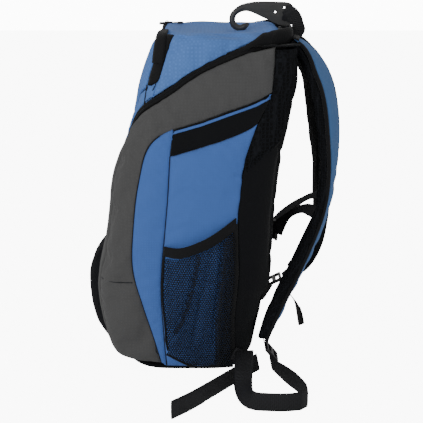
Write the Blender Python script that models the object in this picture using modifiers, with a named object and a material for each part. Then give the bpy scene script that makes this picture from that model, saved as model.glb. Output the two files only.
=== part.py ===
"""Daypack: a 46 cm panel-loading pack with a hinged lid, harness and carry hook.

Frame, in metres: origin on the base, +X to the wearer's right, +Y towards the wearer
(back panel and shoulder straps), -Y the front of the pack, +Z up.
"""

import math

import bmesh
import bpy
import numpy as np
from mathutils import Matrix, Vector

# ---- driving dimensions -------------------------------------------------------------
FRONT_RADIUS = 0.035
BACK_RADIUS = 0.020
FLANK_BULGE = 0.004
FABRIC = 0.0012
PADDING = 0.009
SEAM_GAP = 0.0004
INSIDE = Vector((0.0, -0.02, 0.20))

WEBBING = 0.025
WEB_THICK = 0.0014
STERNUM_WEB = 0.018

LID_REAR = 0.108
LID_REAR_RADIUS = 0.050
LID_SHOULDER = 0.455
LID_HINGE = (0.0, -0.1025, 0.3065)
FLAP_HINGE = (0.0, -0.0915, 0.3440)
HOOK_AXIS = (0.0, 0.136, 0.474)
MAIN_BAIL = (0.0165, 0.1136, 0.4570)
POCKET_BAIL = (-0.0600, -0.0484, 0.4627)
BAIL_REACH = 0.0045
POCKET_BAIL_REACH = 0.0061
BAIL_RISE = 0.0010
PULL_WIDTH = 0.0055
HARNESS_AXIS = (0.0, 0.116, 0.447)
ZIP_HALF = 0.0045
SEAM_INWARD = -0.0050
BACK_TOP = 0.428
BACK_CORNER_TOP = 0.4425

# (z, value) profiles of the packed body
HALF_WIDTH = (
    (0.0, 0.120), (0.03, 0.127), (0.12, 0.133), (0.25, 0.133), (0.36, 0.127), (0.44, 0.121), (0.46, 0.119),
)
FRONT = (
    (0.0, -0.100), (0.03, -0.1225), (0.075, -0.1335), (0.13, -0.1364), (0.172, -0.127),
    (0.2265, -0.1185), (0.27, -0.114), (0.308, -0.102), (0.356, -0.085), (0.41, -0.0735),
    (0.46, -0.052),
)
BACK = (
    (0.0, 0.058), (0.03, 0.065), (0.088, 0.077), (0.132, 0.090), (0.192, 0.094), (0.279, 0.102),
    (0.393, 0.122), (0.46, 0.134),
)

RIM_START = 0.930  # share of the side pocket's height where its elastic binding starts

# side-view outlines, as (y, z)
ZIP_LINE = (
    (-0.102, 0.309), (-0.0965, 0.328), (-0.081, 0.357), (-0.043, 0.384), (-0.006, 0.4105), (0.030, 0.428),
    (0.062, 0.4405),
)
WING_TOP_END = ((0.080, 0.4455), (0.098, 0.4490))
WING_EDGE = (
    (0.0955, 0.386), (0.075, 0.3745), (0.039, 0.362), (0.003, 0.349), (-0.034, 0.338), (-0.052, 0.330),
    (-0.065, 0.318), (-0.073, 0.301), (-0.0785, 0.276), (-0.0845, 0.244), (-0.089, 0.197),
    (-0.091, 0.1655), (-0.0886, 0.139), (-0.081, 0.111), (-0.069, 0.071), (-0.0556, 0.024),
    (-0.053, 0.0115),
)
SIDE_SEAM = (
    (-0.0385, 0.303), (-0.042, 0.244), (-0.047, 0.190), (-0.052, 0.122), (-0.049, 0.056), (-0.046, 0.0065),
)
BACK_SEAM = (
    (0.098, 0.444), (0.0955, 0.386), (0.0860, 0.366), (0.076, 0.345), (0.068, 0.321), (0.060, 0.300),
    (0.054, 0.244), (0.050, 0.2135), (0.052, 0.1435), (0.046, 0.078), (0.048, 0.0065),
)
BAND_BOTTOM = ((-0.0385, 0.303), (0.008, 0.317), (0.054, 0.3325), (0.076, 0.345))
POCKET_RIM = ((-0.047, 0.1820), (-0.026, 0.1820), (-0.014, 0.1855), (0.017, 0.1990), (0.049, 0.2205))

STRAP_RIGHT = (  # x, y, z of the centreline, from the top seam down
    (0.066, 0.1222, 0.4440), (0.067, 0.1330, 0.4395), (0.069, 0.1430, 0.4300), (0.071, 0.152, 0.415),
    (0.075, 0.165, 0.385), (0.079, 0.172, 0.345), (0.080, 0.174, 0.300), (0.080, 0.172, 0.260),
    (0.081, 0.165, 0.220), (0.083, 0.153, 0.185), (0.086, 0.138, 0.150), (0.091, 0.122, 0.117),
    (0.096, 0.1055, 0.085), (0.101, 0.0940, 0.060), (0.105, 0.0860, 0.041),
)
STRAP_LEFT = (
    (-0.066, 0.1222, 0.4440), (-0.067, 0.1330, 0.4395), (-0.069, 0.1430, 0.4300),
    (-0.071, 0.152, 0.415), (-0.075, 0.165, 0.385),
    (-0.079, 0.172, 0.345), (-0.080, 0.176, 0.300), (-0.080, 0.180, 0.255), (-0.080, 0.182, 0.210),
    (-0.080, 0.180, 0.168), (-0.080, 0.173, 0.130), (-0.080, 0.158, 0.100), (-0.080, 0.137, 0.083),
)
STRAP_THICK = 0.014
STRAP_TOP_WIDTH = 0.062
STRAP_END_WIDTH = 0.042
STRAP_TWIST = (  # share of the strap's length, degrees that it turns outwards there
    (0.0, 4.0), (0.12, 24.0), (0.30, 24.0), (0.50, 12.0), (1.0, 8.0),
)

# webbing routes: (centre, direction of the width)
FLAT, EDGE = (0.0, 1.0, 0.0), (0.0, 0.0, 1.0)
LOOP_RIGHT = (
    ((0.134, 0.0610, 0.0330), (0, 1, 0.1)), ((0.160, 0.0600, 0.0335), FLAT),
    ((0.190, 0.0580, 0.0290), FLAT),
    ((0.215, 0.0570, 0.0190), (0, 1, 0.3)), ((0.238, 0.0600, 0.0145), (0, 0.7, 0.7)),
    ((0.2535, 0.0690, 0.0132), (0, 0.2, 1)), ((0.2585, 0.0880, 0.0132), EDGE),
    ((0.2590, 0.1120, 0.0132), EDGE),
    ((0.2540, 0.1310, 0.0132), EDGE), ((0.2380, 0.1390, 0.0132), EDGE), ((0.2010, 0.1300, 0.0132), EDGE),
    ((0.1760, 0.1180, 0.0140), EDGE), ((0.1530, 0.1060, 0.0150), (0, -0.2, 1)),
    ((0.1360, 0.0970, 0.0170), (0, -0.3, 1)),
)
TAIL_RIGHT = (
    ((0.1300, 0.0800, 0.0160), (0, -0.2, 1)), ((0.1460, 0.0650, 0.0132), EDGE),
    ((0.1630, 0.0530, 0.0132), EDGE),
    ((0.1920, 0.0330, 0.0132), EDGE), ((0.2240, 0.0110, 0.0132), EDGE), ((0.2560, -0.0120, 0.0132), EDGE),
    ((0.2820, -0.0340, 0.0132), EDGE),
)
LOOP_LEFT = (
    ((-0.134, 0.0610, 0.0330), (0, 1, 0.1)), ((-0.160, 0.0590, 0.0320), FLAT),
    ((-0.192, 0.0560, 0.0240), FLAT),
    ((-0.222, 0.0530, 0.0160), (0, 0.7, 0.7)), ((-0.250, 0.0500, 0.0132), (0, 0.2, 1)),
    ((-0.282, 0.0510, 0.0132), EDGE),
    ((-0.305, 0.0590, 0.0132), EDGE), ((-0.311, 0.0720, 0.0132), EDGE), ((-0.302, 0.0850, 0.0132), EDGE),
    ((-0.270, 0.0920, 0.0132), EDGE), ((-0.230, 0.0935, 0.0132), EDGE), ((-0.190, 0.0940, 0.0140), EDGE),
    ((-0.155, 0.0950, 0.0210), (0, -0.3, 1)), ((-0.128, 0.0985, 0.0400), (0, -0.5, 0.8)),
    ((-0.110, 0.1030, 0.0560), (0, -0.6, 0.7)),
)
TAIL_LEFT = (
    ((-0.0800, 0.1200, 0.0570), (1, 0, 0)), ((-0.0760, 0.1330, 0.0500), (1, 0.1, 0)),
    ((-0.0680, 0.1450, 0.0360), (1, 0.2, 0)),
    ((-0.0590, 0.1510, 0.0200), (1, 0.3, 0)), ((-0.0510, 0.1540, 0.0035), (1, 0.3, 0)),
)
STERNUM_RIGHT = (
    ((0.0445, 0.1660, 0.2030), (0, 0.3, 1)), ((0.0420, 0.1580, 0.2075), (-0.3, 0.6, 0.8)),
    ((0.0390, 0.1460, 0.2100), (-0.5, 0.7, 0.5)), ((0.0350, 0.1310, 0.2040), (-0.5, 0.5, 0.7)),
    ((0.0310, 0.1185, 0.1900), (-0.3, 0.3, 1)), ((0.0290, 0.1120, 0.1800), (0, 0.1, 1)),
    ((0.0275, 0.1090, 0.1710), EDGE),
)
STERNUM_LEFT = (
    ((-0.0455, 0.1860, 0.2080), (0, 0.1, 1)), ((-0.0440, 0.1760, 0.2120), (0.3, 0.5, 0.8)),
    ((-0.0410, 0.1590, 0.2080), (0.4, 0.5, 0.7)), ((-0.0380, 0.1380, 0.1960), (0.3, 0.4, 0.9)),
    ((-0.0345, 0.1190, 0.1800), (0.1, 0.2, 1)), ((-0.0300, 0.1095, 0.1700), EDGE),
    ((-0.0283, 0.1085, 0.1685), EDGE),
)
BUCKLE_CENTRE = (0.0, 0.1085, 0.1680)
LOCK_RIGHT = (0.1090, 0.0990, 0.0225)
LOCK_LEFT = (-0.0800, 0.1130, 0.0680)

HOOK_OUTLINE = (
    (0.0406, 0.4705), (0.0425, 0.4625), (0.0475, 0.4575), (0.0538, 0.4560), (0.0610, 0.4572),
    (0.0665, 0.4608), (0.0690, 0.4640), (0.0665, 0.4675), (0.0635, 0.4668), (0.0600, 0.4630),
    (0.0566, 0.4618), (0.0520, 0.4630), (0.0490, 0.4670), (0.0488, 0.4730), (0.0520, 0.4785),
    (0.0609, 0.4825), (0.0700, 0.4815), (0.0800, 0.4772), (0.0930, 0.4713), (0.1040, 0.4662),
    (0.1121, 0.4634), (0.1210, 0.4628), (0.1281, 0.4655), (0.1300, 0.4750), (0.1300, 0.4850),
    (0.1283, 0.4906), (0.1217, 0.4946), (0.1000, 0.4957), (0.0782, 0.4956), (0.0640, 0.4935),
    (0.0536, 0.4899), (0.0455, 0.4825),
)
HAUL_OUTLINE = (
    (0.1138, 0.4815), (0.1180, 0.4850), (0.1192, 0.4905), (0.1290, 0.4895), (0.1363, 0.4835),
    (0.1416, 0.4749), (0.1440, 0.4660), (0.1465, 0.4591), (0.1440, 0.4510), (0.1370, 0.4440),
    (0.1290, 0.4405), (0.1228, 0.4425), (0.1222, 0.4480), (0.1262, 0.4540), (0.1285, 0.4600),
    (0.1275, 0.4640), (0.1206, 0.4685), (0.1141, 0.4700), (0.1130, 0.4740), (0.1155, 0.4778),
)
HOOK_HOLES = ((0.1168, 0.4875), (0.1045, 0.4813))
HOOK_THICK = 0.0050

COLOURS = {  # base colour, roughness
    "blue": ((0.065, 0.175, 0.456), 0.85),
    "lid_blue": ((0.082, 0.205, 0.500), 0.85),
    "strap_blue": ((0.076, 0.155, 0.305), 0.85),
    "grey": ((0.069, 0.069, 0.070), 0.90),
    "black": ((0.004, 0.0045, 0.006), 0.90),
    "mesh": ((0.006, 0.008, 0.014), 0.85),
    "webbing": ((0.010, 0.011, 0.013), 0.75),
    "plastic": ((0.055, 0.056, 0.058), 0.45),
    "black_plastic": ((0.008, 0.008, 0.010), 0.40),
    "sheet": ((0.55, 0.56, 0.57), 0.45),
}


# ---- scene helpers ------------------------------------------------------------------
def clear_scene():
    """Removes every object, so the script can run again in the same file."""
    for item in list(bpy.data.objects):
        bpy.data.objects.remove(item, do_unlink=True)


def new_collection(name):
    """A new collection under the scene's own."""
    group = bpy.data.collections.new(name)
    bpy.context.scene.collection.children.link(group)
    return group


def material(slot):
    """The material of one slot, made once."""
    found = bpy.data.materials.get(slot)
    if found:
        return found
    colour, rough = COLOURS[slot]
    made = bpy.data.materials.new(slot)
    made.use_nodes = True
    shader = made.node_tree.nodes["Principled BSDF"]
    shader.inputs["Base Color"].default_value = (*colour, 1.0)
    shader.inputs["Roughness"].default_value = rough
    return made


def add_object(name, mesh, slot):
    """Puts a mesh in the parts collection with its material."""
    mesh.materials.clear()
    mesh.materials.append(material(slot))
    obj = bpy.data.objects.new(name, mesh)
    PARTS.objects.link(obj)
    return obj


def joint_empty(name, where, *pieces):
    """An empty on a joint's axis, the parent of the pieces that move about it."""
    pivot = bpy.data.objects.new(name, None)
    pivot.location = where
    pivot.empty_display_size = 0.02
    PARTS.objects.link(pivot)
    for piece in pieces:
        obj = bpy.data.objects[piece]
        obj.parent = pivot
        obj.matrix_parent_inverse = Matrix.Translation(-Vector(where))


# ---- curves -------------------------------------------------------------------------
def profile(table, z):
    """Smooth value of a (z, value) table at z: a cubic through its points."""
    zs = [row[0] for row in table]
    vs = [row[1] for row in table]
    z = min(max(z, zs[0]), zs[-1])
    i = min(max(int(np.searchsorted(zs, z)) - 1, 0), len(zs) - 2)

    def slope(k):
        lo, hi = max(k - 1, 0), min(k + 1, len(zs) - 1)
        return (vs[hi] - vs[lo]) / (zs[hi] - zs[lo])

    h = zs[i + 1] - zs[i]
    u = (z - zs[i]) / h
    a = vs[i] * (1 + 2 * u) * (1 - u) ** 2 + slope(i) * h * u * (1 - u) ** 2
    return a + vs[i + 1] * u * u * (3 - 2 * u) - slope(i + 1) * h * u * u * (1 - u)


def smooth_line(points, count):
    """Catmull-Rom curve through the points, resampled to count points of equal spacing."""
    pts = [np.array(p, float) for p in points]
    pts = [2 * pts[0] - pts[1]] + pts + [2 * pts[-1] - pts[-2]]
    fine = []
    for i in range(1, len(pts) - 2):
        p0, p1, p2, p3 = pts[i - 1: i + 3]
        for u in np.linspace(0, 1, 12, endpoint=False):
            fine.append(0.5 * (2 * p1 + (p2 - p0) * u + (2 * p0 - 5 * p1 + 4 * p2 - p3) * u**2
                               + (3 * p1 - p0 - 3 * p2 + p3) * u**3))
    fine.append(pts[-2])
    fine = np.array(fine)
    length = np.r_[0, np.cumsum(np.linalg.norm(np.diff(fine, axis=0), axis=1))]
    at = np.linspace(0, length[-1], count)
    return np.stack([np.interp(at, length, fine[:, k]) for k in range(fine.shape[1])], axis=1)


def shifted(line, distance):
    """A (t, z) line moved sideways, to the left of its direction."""
    line = np.array(line)
    along = np.gradient(line, axis=0)
    along /= np.linalg.norm(along, axis=1)[:, None]
    return line + distance * np.stack([-along[:, 1], along[:, 0]], axis=1)


def base_height(y):
    """Height of the pack's bottom edge: flat on the floor, rising a little at the front."""
    return 0.012 * min(max((-0.05 - y) / 0.06, 0.0), 1.0) ** 1.5


# ---- the packed body's skin ---------------------------------------------------------
def unwrap(y, z):
    """Side-view y turned into the skin's length coordinate t."""
    corner = profile(FRONT, z) + FRONT_RADIUS
    if y >= corner:
        return y
    return corner - FRONT_RADIUS * math.asin(min((corner - y) / FRONT_RADIUS, 1.0))


def front_face_t(z, inward=0.0):
    """t where the front corner ends, or a length beyond it on the front face."""
    return profile(FRONT, z) + FRONT_RADIUS * (1 - math.pi / 2) - inward


def front_centre_t(z):
    """t of the front's middle."""
    return front_face_t(z, profile(HALF_WIDTH, z) - FRONT_RADIUS)


def back_centre_t(z):
    """t of the back's middle."""
    w, b = profile(HALF_WIDTH, z), profile(BACK, z)
    return b - BACK_RADIUS + BACK_RADIUS * math.pi / 2 + w - BACK_RADIUS


def section(t, z, front, back, back_radius, out=0.0):
    """A point of a rounded-rectangle section: t is y on the flank, and a length beyond it."""
    w = profile(HALF_WIDTH, z)
    start, end = front + FRONT_RADIUS, back - back_radius
    if t < start:
        turn = (start - t) / FRONT_RADIUS
        if turn < math.pi / 2:
            nx, ny = math.cos(turn), -math.sin(turn)
            x, y = w - FRONT_RADIUS + FRONT_RADIUS * nx, start + FRONT_RADIUS * ny
        else:
            nx, ny = 0.0, -1.0
            x, y = w - FRONT_RADIUS - (start - t - FRONT_RADIUS * math.pi / 2), front
    elif t > end:
        turn = (t - end) / back_radius
        if turn < math.pi / 2:
            nx, ny = math.cos(turn), math.sin(turn)
            x, y = w - back_radius + back_radius * nx, end + back_radius * ny
        else:
            nx, ny = 0.0, 1.0
            x, y = w - back_radius - (t - end - back_radius * math.pi / 2), back
    else:
        nx, ny = 1.0, 0.0
        mid = 2 * (t - start) / (end - start) - 1
        x, y = w + FLANK_BULGE * (1 - mid * mid), t
    return Vector((x + out * nx, y + out * ny, z))


def skin(t, z, out=0.0):
    """A point of the body's skin, on the right half."""
    return section(t, z, profile(FRONT, z), profile(BACK, z), BACK_RADIUS, out)


def flat_line(outline, count):
    """A side-view outline as smooth (t, z) points."""
    return smooth_line([(unwrap(y, z), z) for y, z in outline], count)


BACK_SEAM_LINE = flat_line(BACK_SEAM, 90)[::-1]


def back_seam_line(high, low, count):
    """(t, z) points of the seam between flank and back, from one height down to another."""
    zs = np.linspace(high, low, count)
    return np.stack([np.interp(zs, BACK_SEAM_LINE[:, 1], BACK_SEAM_LINE[:, 0]), zs], axis=1)


# ---- meshes -------------------------------------------------------------------------
def draw_in(bm, gap):
    """Moves the rim of an open sheet inwards by gap, so that neighbours keep a seam."""
    moves = []
    for vertex in bm.verts:
        if not vertex.is_boundary:
            continue
        corner = len(vertex.link_faces) != 2
        middles = [face.calc_center_median() for face in vertex.link_faces]
        centre = sum(middles, Vector()) / len(middles)
        rim = [edge.other_vert(vertex).co for edge in vertex.link_edges if edge.is_boundary]
        inward = centre - vertex.co
        if not corner:
            along = (rim[0] - rim[1]).normalized()
            inward -= along * inward.dot(along)
        moves.append((vertex, inward.normalized() * gap * (1.4 if corner else 1.0)))
    for vertex, move in moves:
        vertex.co += move


def sheet_from_grid(name, rows, slot, thick, side=1, skip=None, gap=SEAM_GAP, inside=INSIDE, offset=-1.0):
    """A sheet of fabric: a grid of points, thickened towards the inside of the pack."""
    bm = bmesh.new()
    grid = [[bm.verts.new((side * p[0], p[1], p[2])) for p in row] for row in rows]
    for i in range(len(grid) - 1):
        for j in range(len(grid[0]) - 1):
            if skip and skip(i, j):
                continue
            bm.faces.new((grid[i][j], grid[i + 1][j], grid[i + 1][j + 1], grid[i][j + 1]))
    bmesh.ops.remove_doubles(bm, verts=bm.verts, dist=0.00001)
    bmesh.ops.delete(bm, geom=[v for v in bm.verts if not v.link_faces], context="VERTS")
    bm.normal_update()
    outward = sum(((f.calc_center_median() - inside).normalized().dot(f.normal) for f in bm.faces))
    if outward < 0:
        bmesh.ops.reverse_faces(bm, faces=bm.faces)
    if gap:
        draw_in(bm, gap)
    mesh = bpy.data.meshes.new(name)
    bm.to_mesh(mesh)
    bm.free()
    mesh.shade_smooth()
    obj = add_object(name, mesh, slot)
    thicken(obj, thick, offset)
    return obj


def thicken(obj, thick, offset=-1.0):
    """Solidify modifier on a sheet."""
    solid = obj.modifiers.new("thickness", "SOLIDIFY")
    solid.thickness = thick
    solid.offset = offset
    return solid


def ruled(first, second, count):
    """Rows of (t, z) points between two lines of equal length."""
    return [[(1 - u) * a + u * b for u in np.linspace(0, 1, count)] for a, b in zip(first, second)]


def patch(top, bottom, left, right):
    """A grid of (t, z) points inside four lines, which meet at the corners."""
    us = np.linspace(0, 1, len(top))[:, None]
    rows = []
    for v, a, b in zip(np.linspace(0, 1, len(left)), left, right):
        edges = (1 - v) * top + v * bottom + (1 - us) * a + us * b
        corners = (1 - v) * ((1 - us) * top[0] + us * top[-1])
        corners = corners + v * ((1 - us) * bottom[0] + us * bottom[-1])
        rows.append(list(edges - corners))
    return rows


def panel(name, grid, slot, thick=FABRIC, side=1, out=0.0):
    """A panel of the skin from a grid of (t, z) points."""
    rows = [[skin(t, z, out) for t, z in row] for row in grid]
    return sheet_from_grid(name, rows, slot, thick, side)


def ribbon(name, route, width, thick, slot, count):
    """A flat strap along a route of (centre, width direction) pairs."""
    stations = smooth_line([(*centre, *Vector(across).normalized()) for centre, across in route], count)
    rows = []
    for station in stations:
        centre, across = Vector(station[:3]), Vector(station[3:]).normalized() * (width / 2)
        rows.append([centre - across, centre, centre + across])
    bm = bmesh.new()
    grid = [[bm.verts.new(p) for p in row] for row in rows]
    for i in range(len(grid) - 1):
        for j in range(2):
            bm.faces.new((grid[i][j], grid[i + 1][j], grid[i + 1][j + 1], grid[i][j + 1]))
    mesh = bpy.data.meshes.new(name)
    bm.to_mesh(mesh)
    bm.free()
    thicken(add_object(name, mesh, slot), thick, 0.0)


def box(name, centre, size, slot, bevel=0.0, turn=(0.0, 0.0, 0.0), group=None):
    """A box with its edges rounded by Bevel."""
    mesh = bpy.data.meshes.new(name)
    bm = bmesh.new()
    bmesh.ops.create_cube(bm, size=1.0)
    bmesh.ops.scale(bm, verts=bm.verts, vec=size)
    bm.to_mesh(mesh)
    bm.free()
    obj = bpy.data.objects.new(name, mesh)
    obj.location = centre
    obj.rotation_euler = turn
    (group or PARTS).objects.link(obj)
    if group:
        obj.hide_render = True
        obj.display_type = "WIRE"
    else:
        mesh.materials.append(material(slot))
    if bevel:
        rounding = obj.modifiers.new("rounding", "BEVEL")
        rounding.width = bevel
        rounding.segments = 2
        rounding.limit_method = "ANGLE"
    return obj


def cut(obj, cutter):
    """Takes a cutter away from an object."""
    boolean = obj.modifiers.new("cut", "BOOLEAN")
    boolean.operation = "DIFFERENCE"
    boolean.object = cutter


def plate(name, outline, thick, slot, origin, group=None):
    """A plate in the Y-Z plane with an outline of (y, z) points, centred on x = 0."""
    curve = bpy.data.curves.new(name, "CURVE")
    curve.dimensions = "2D"
    curve.fill_mode = "BOTH"
    curve.extrude = thick / 2
    spline = curve.splines.new("POLY")
    spline.points.add(len(outline) - 1)
    for point, (y, z) in zip(spline.points, outline):
        point.co = (y - origin[1], z - origin[2], 0.0, 1.0)
    spline.use_cyclic_u = True
    drawn = bpy.data.objects.new(name + "_outline", curve)
    drawn.rotation_euler = (math.pi / 2, 0.0, math.pi / 2)
    drawn.location = origin
    bpy.context.scene.collection.objects.link(drawn)
    bpy.context.view_layer.update()
    mesh = bpy.data.meshes.new_from_object(drawn.evaluated_get(bpy.context.evaluated_depsgraph_get()))
    bm = bmesh.new()
    bm.from_mesh(mesh)
    bmesh.ops.remove_doubles(bm, verts=bm.verts, dist=0.00001)
    bm.to_mesh(mesh)
    bm.free()
    obj = bpy.data.objects.new(name, mesh)
    obj.matrix_world = drawn.matrix_world
    bpy.data.objects.remove(drawn, do_unlink=True)
    (group or PARTS).objects.link(obj)
    mesh.materials.clear()
    if group:
        obj.hide_render = True
        obj.display_type = "WIRE"
    else:
        mesh.materials.append(material(slot))
    return obj


def side_name(word, side):
    """Name of a piece that both sides have."""
    return f"{word}_{'right' if side > 0 else 'left'}"


# ---- body panels --------------------------------------------------------------------
def wing_lines(count):
    """Outer and inner edges of the grey wing: along zip and front seam, and along the side."""
    zip_edge = shifted(flat_line(ZIP_LINE + WING_TOP_END, 40)[::-1], ZIP_HALF)
    seam = [(front_face_t(z, SEAM_INWARD), z) for z in np.linspace(0.3045, 0.018, 12)]
    return smooth_line([*zip_edge[:-3:3], *seam], count), flat_line(WING_EDGE, count)


def make_side(side):
    """The panels of one flank."""
    outer, inner = wing_lines(34)
    panel(side_name("wing_panel", side), ruled(outer, inner, 6), "grey", side=side)
    gusset_front = flat_line(WING_EDGE[4:], 22)
    gusset_back = flat_line(((-0.034, 0.3345),) + SIDE_SEAM, 22)
    panel(side_name("front_gusset", side), ruled(gusset_front, gusset_back, 4), "blue", side=side)
    under_band = flat_line(BAND_BOTTOM, 8)
    fore, rear = flat_line(SIDE_SEAM, 16), back_seam_line(under_band[-1][1], BACK_SEAM[-1][1], 16)
    bottom = np.linspace(fore[-1], rear[-1], 8)
    panel(side_name("side_panel", side), patch(under_band, bottom, fore, rear), "blue", side=side)
    over_band = flat_line(WING_EDGE[:5], 12)[::-1]
    under_band = flat_line(BAND_BOTTOM, 12)
    fore = np.linspace(over_band[0], under_band[0], 4)
    rear = back_seam_line(over_band[-1][1], under_band[-1][1], 4)
    panel(side_name("side_band", side), patch(over_band, under_band, fore, rear), "black", side=side)
    make_side_pocket(side)


def pocket_point(u, v, out):
    """A point of the side pocket: u from its front to its rear edge, v from the bottom to the rim."""
    rim = smooth_line(POCKET_RIM, 41)
    y, top = rim[int(round(u * 40))]
    z = 0.006 + v * (top - 0.006)
    rear = back_seam_line(z, z, 1)[0][0] - 0.0025
    fore = np.interp(z, [p[1] for p in SIDE_SEAM[::-1]], [p[0] for p in SIDE_SEAM[::-1]]) + 0.0015
    bulge = 0.016 * (4 * u * (1 - u)) ** 0.7 * (0.35 + 0.65 * v) * min(1.0, v / 0.15) ** 0.5
    return skin(fore + u * (rear - fore), z, 0.0022 + bulge + out)


def make_side_pocket(side):
    """Mesh pocket open at the top, and the elastic binding on its rim."""
    us = [i / 10 for i in range(11)]
    rows = [[pocket_point(u, v, 0.0) for u in us] for v in np.linspace(0.0, RIM_START, 8)]
    sheet_from_grid(side_name("side_pocket", side), rows, "mesh", FABRIC, side)
    rows = [[pocket_point(u, v, 0.0) for u in us] for v in (RIM_START + 0.002, (RIM_START + 1) / 2, 1.0)]
    sheet_from_grid(side_name("pocket_binding", side), rows, "black", 0.0018, side, offset=0.0)


def make_front_panel():
    """The grey middle of the front, between the wings."""
    rows = []
    for z in np.linspace(0.018, 0.3083, 14):
        edge = skin(front_face_t(z, SEAM_INWARD + 0.0006), z).x
        rows.append([Vector((x, profile(FRONT, z), z)) for x in np.linspace(-edge, edge, 7)])
    sheet_from_grid("front_panel", rows, "grey", FABRIC)


def make_front_pocket():
    """The domed pocket low on the front: a thin shell open at the back, against the front panel."""
    low, high, half, depth = 0.016, 0.160, 0.084, 0.0195
    rows = []
    for v in np.linspace(0, 1, 11):
        z = low + v * (high - low)
        reach = half * (1 - 0.62 * max(0.0, (v - 0.45) / 0.55) ** 2.6) * (1 - 0.12 * (1 - v) ** 6)
        rise = depth * (1 - abs(2 * v - 1) ** 3.2) ** 0.8
        row = []
        for u in np.linspace(-1, 1, 11):
            lift = 0.0022 + rise * (1 - abs(u) ** 4) ** 0.8
            row.append(Vector((u * reach, profile(FRONT, z) - lift, z)))
        rows.append(row)
    sheet_from_grid("front_pocket", rows, "black", 0.0016)


def make_back_panel():
    """The padded black back, round both rear corners, and the stiffener sheet inside it."""
    low = BACK_SEAM[-1][1]
    rows = []
    for v in np.linspace(0, 1, 20):
        half = []
        for u in (0, 0.09, 0.16, 0.21, 0.255, 0.285, 0.36, 0.55, 0.78, 1.0):
            top = BACK_CORNER_TOP if u < 0.27 else BACK_TOP
            z = low + v * (top - low)
            first = back_seam_line(z, z, 1)[0][0]
            half.append(skin(first + (back_centre_t(z) - first) * u, z))
        rows.append(half + [Vector((-p.x, p.y, p.z)) for p in reversed(half[:-1])])
    sheet_from_grid("back_panel", rows, "black", PADDING, gap=0.0013)
    rows = []
    for z in np.linspace(0.045, 0.405, 10):
        y = profile(BACK, z) - PADDING - 0.0025
        rows.append([Vector((x, y, z)) for x in np.linspace(-0.088, 0.088, 5)])
    sheet_from_grid("frame_sheet", rows, "sheet", 0.0015)


def make_base_panel():
    """The bottom, flat on the floor under most of the pack."""
    ys = [-0.098, -0.092, -0.080, -0.065, -0.050, -0.03, 0.0, 0.03, 0.046, 0.0535]
    rows = []
    for y in ys:
        into = max(0.0, (-0.072 - y) / 0.026, (y - 0.0355) / 0.018)
        half = 0.1165 - 0.024 * into**2
        rows.append([Vector((x, y, base_height(y))) for x in np.linspace(-half, half, 5)])
    sheet_from_grid("base_panel", rows, "black", 0.0045)


def make_anchor(side):
    """The tab at the bottom rear corner that holds the lower webbing."""
    route = (((side * 0.1320, 0.0600, 0.0325), (0, 1, 0)), ((side * 0.1303, 0.0560, 0.0250), (0, 1, 0.1)),
             ((side * 0.1290, 0.0520, 0.0150), (0, 1, 0.15)))
    ribbon(side_name("corner_anchor", side), route, 0.024, 0.0016, "webbing", 5)


# ---- lid ----------------------------------------------------------------------------
def lid_t_range(z):
    """t of the lid section's front and rear middles."""
    w = profile(HALF_WIDTH, z)
    return front_centre_t(z), LID_REAR + LID_REAR_RADIUS * (math.pi / 2 - 1) + w - LID_REAR_RADIUS


def lid_low_table():
    """(a, z) of the lid's lower edge, a being the fraction of the way from front to rear."""
    table = [(0.0, 0.3095)]
    for t, z in shifted(flat_line(ZIP_LINE, 16), ZIP_HALF):
        first, last = lid_t_range(z)
        table.append(((t - first) / (last - first), z))
    return table + [(0.80, 0.4510), (1.0, 0.4530)]


LID_LOW = lid_low_table()
CROWN = ((0.985, 0.4585), (0.94, 0.4600), (0.80, 0.4570), (0.42, 0.4528), (0.0, 0.4520))  # shrink, height


def lid_point(a, v, out=0.0):
    """A point of the lid's right half: v from the lower edge (0) to the shoulder (1), then the crown."""
    low = float(np.interp(a, [p[0] for p in LID_LOW], [p[1] for p in LID_LOW]))
    shoulder = max(LID_SHOULDER, low + 0.002)
    z = low + min(v, 1.0) * (shoulder - low)
    first, last = lid_t_range(z)
    point = section(first + a * (last - first), z, profile(FRONT, z), LID_REAR, LID_REAR_RADIUS, out)
    if v > 1.0:
        shrink = float(np.interp(v, range(1, 7), [1.0] + [c[0] for c in CROWN]))
        height = float(np.interp(v, range(1, 7), [shoulder] + [c[1] for c in CROWN]))
        middle = 0.5 * (profile(FRONT, z) + LID_REAR)
        point = Vector((point.x * shrink, middle + (point.y - middle) * shrink, height))
    return point


LID_COLUMNS = (
    0.0, 0.08, 0.15, 0.206, 0.222, 0.238, 0.256, 0.288, 0.335, 0.370, 0.42, 0.48, 0.54, 0.61, 0.67, 0.73,
    0.79, 0.86, 0.93, 1.0,
)
LID_ROWS = (0.0, 0.24, 0.5, 0.78, 1.0, 2.0, 3.0, 4.0, 5.0, 6.0)
FLAP_COLUMN, ZIP_COLUMN, FLAP_ROW, SHOULDER_ROW = 7, 8, 1, 4


def lid_rows():
    """The lid's whole grid, from left rear round the front to right rear."""
    rows = []
    for v in LID_ROWS:
        right = [lid_point(a, v) for a in LID_COLUMNS]
        left = [Vector((-p.x, p.y, p.z)) for p in reversed(right[1:])]
        rows.append(left + right)
    return rows


def lid_region(i, j):
    """Which piece a cell of the lid's grid belongs to: flap, pocket zip or shell."""
    column = abs(j + 0.5 - (len(LID_COLUMNS) - 1))
    if i >= FLAP_ROW and i < SHOULDER_ROW and column < FLAP_COLUMN:
        return "flap"
    if i >= FLAP_ROW and i < SHOULDER_ROW + 2 and column < ZIP_COLUMN:
        return "zip"
    return "shell"


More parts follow.
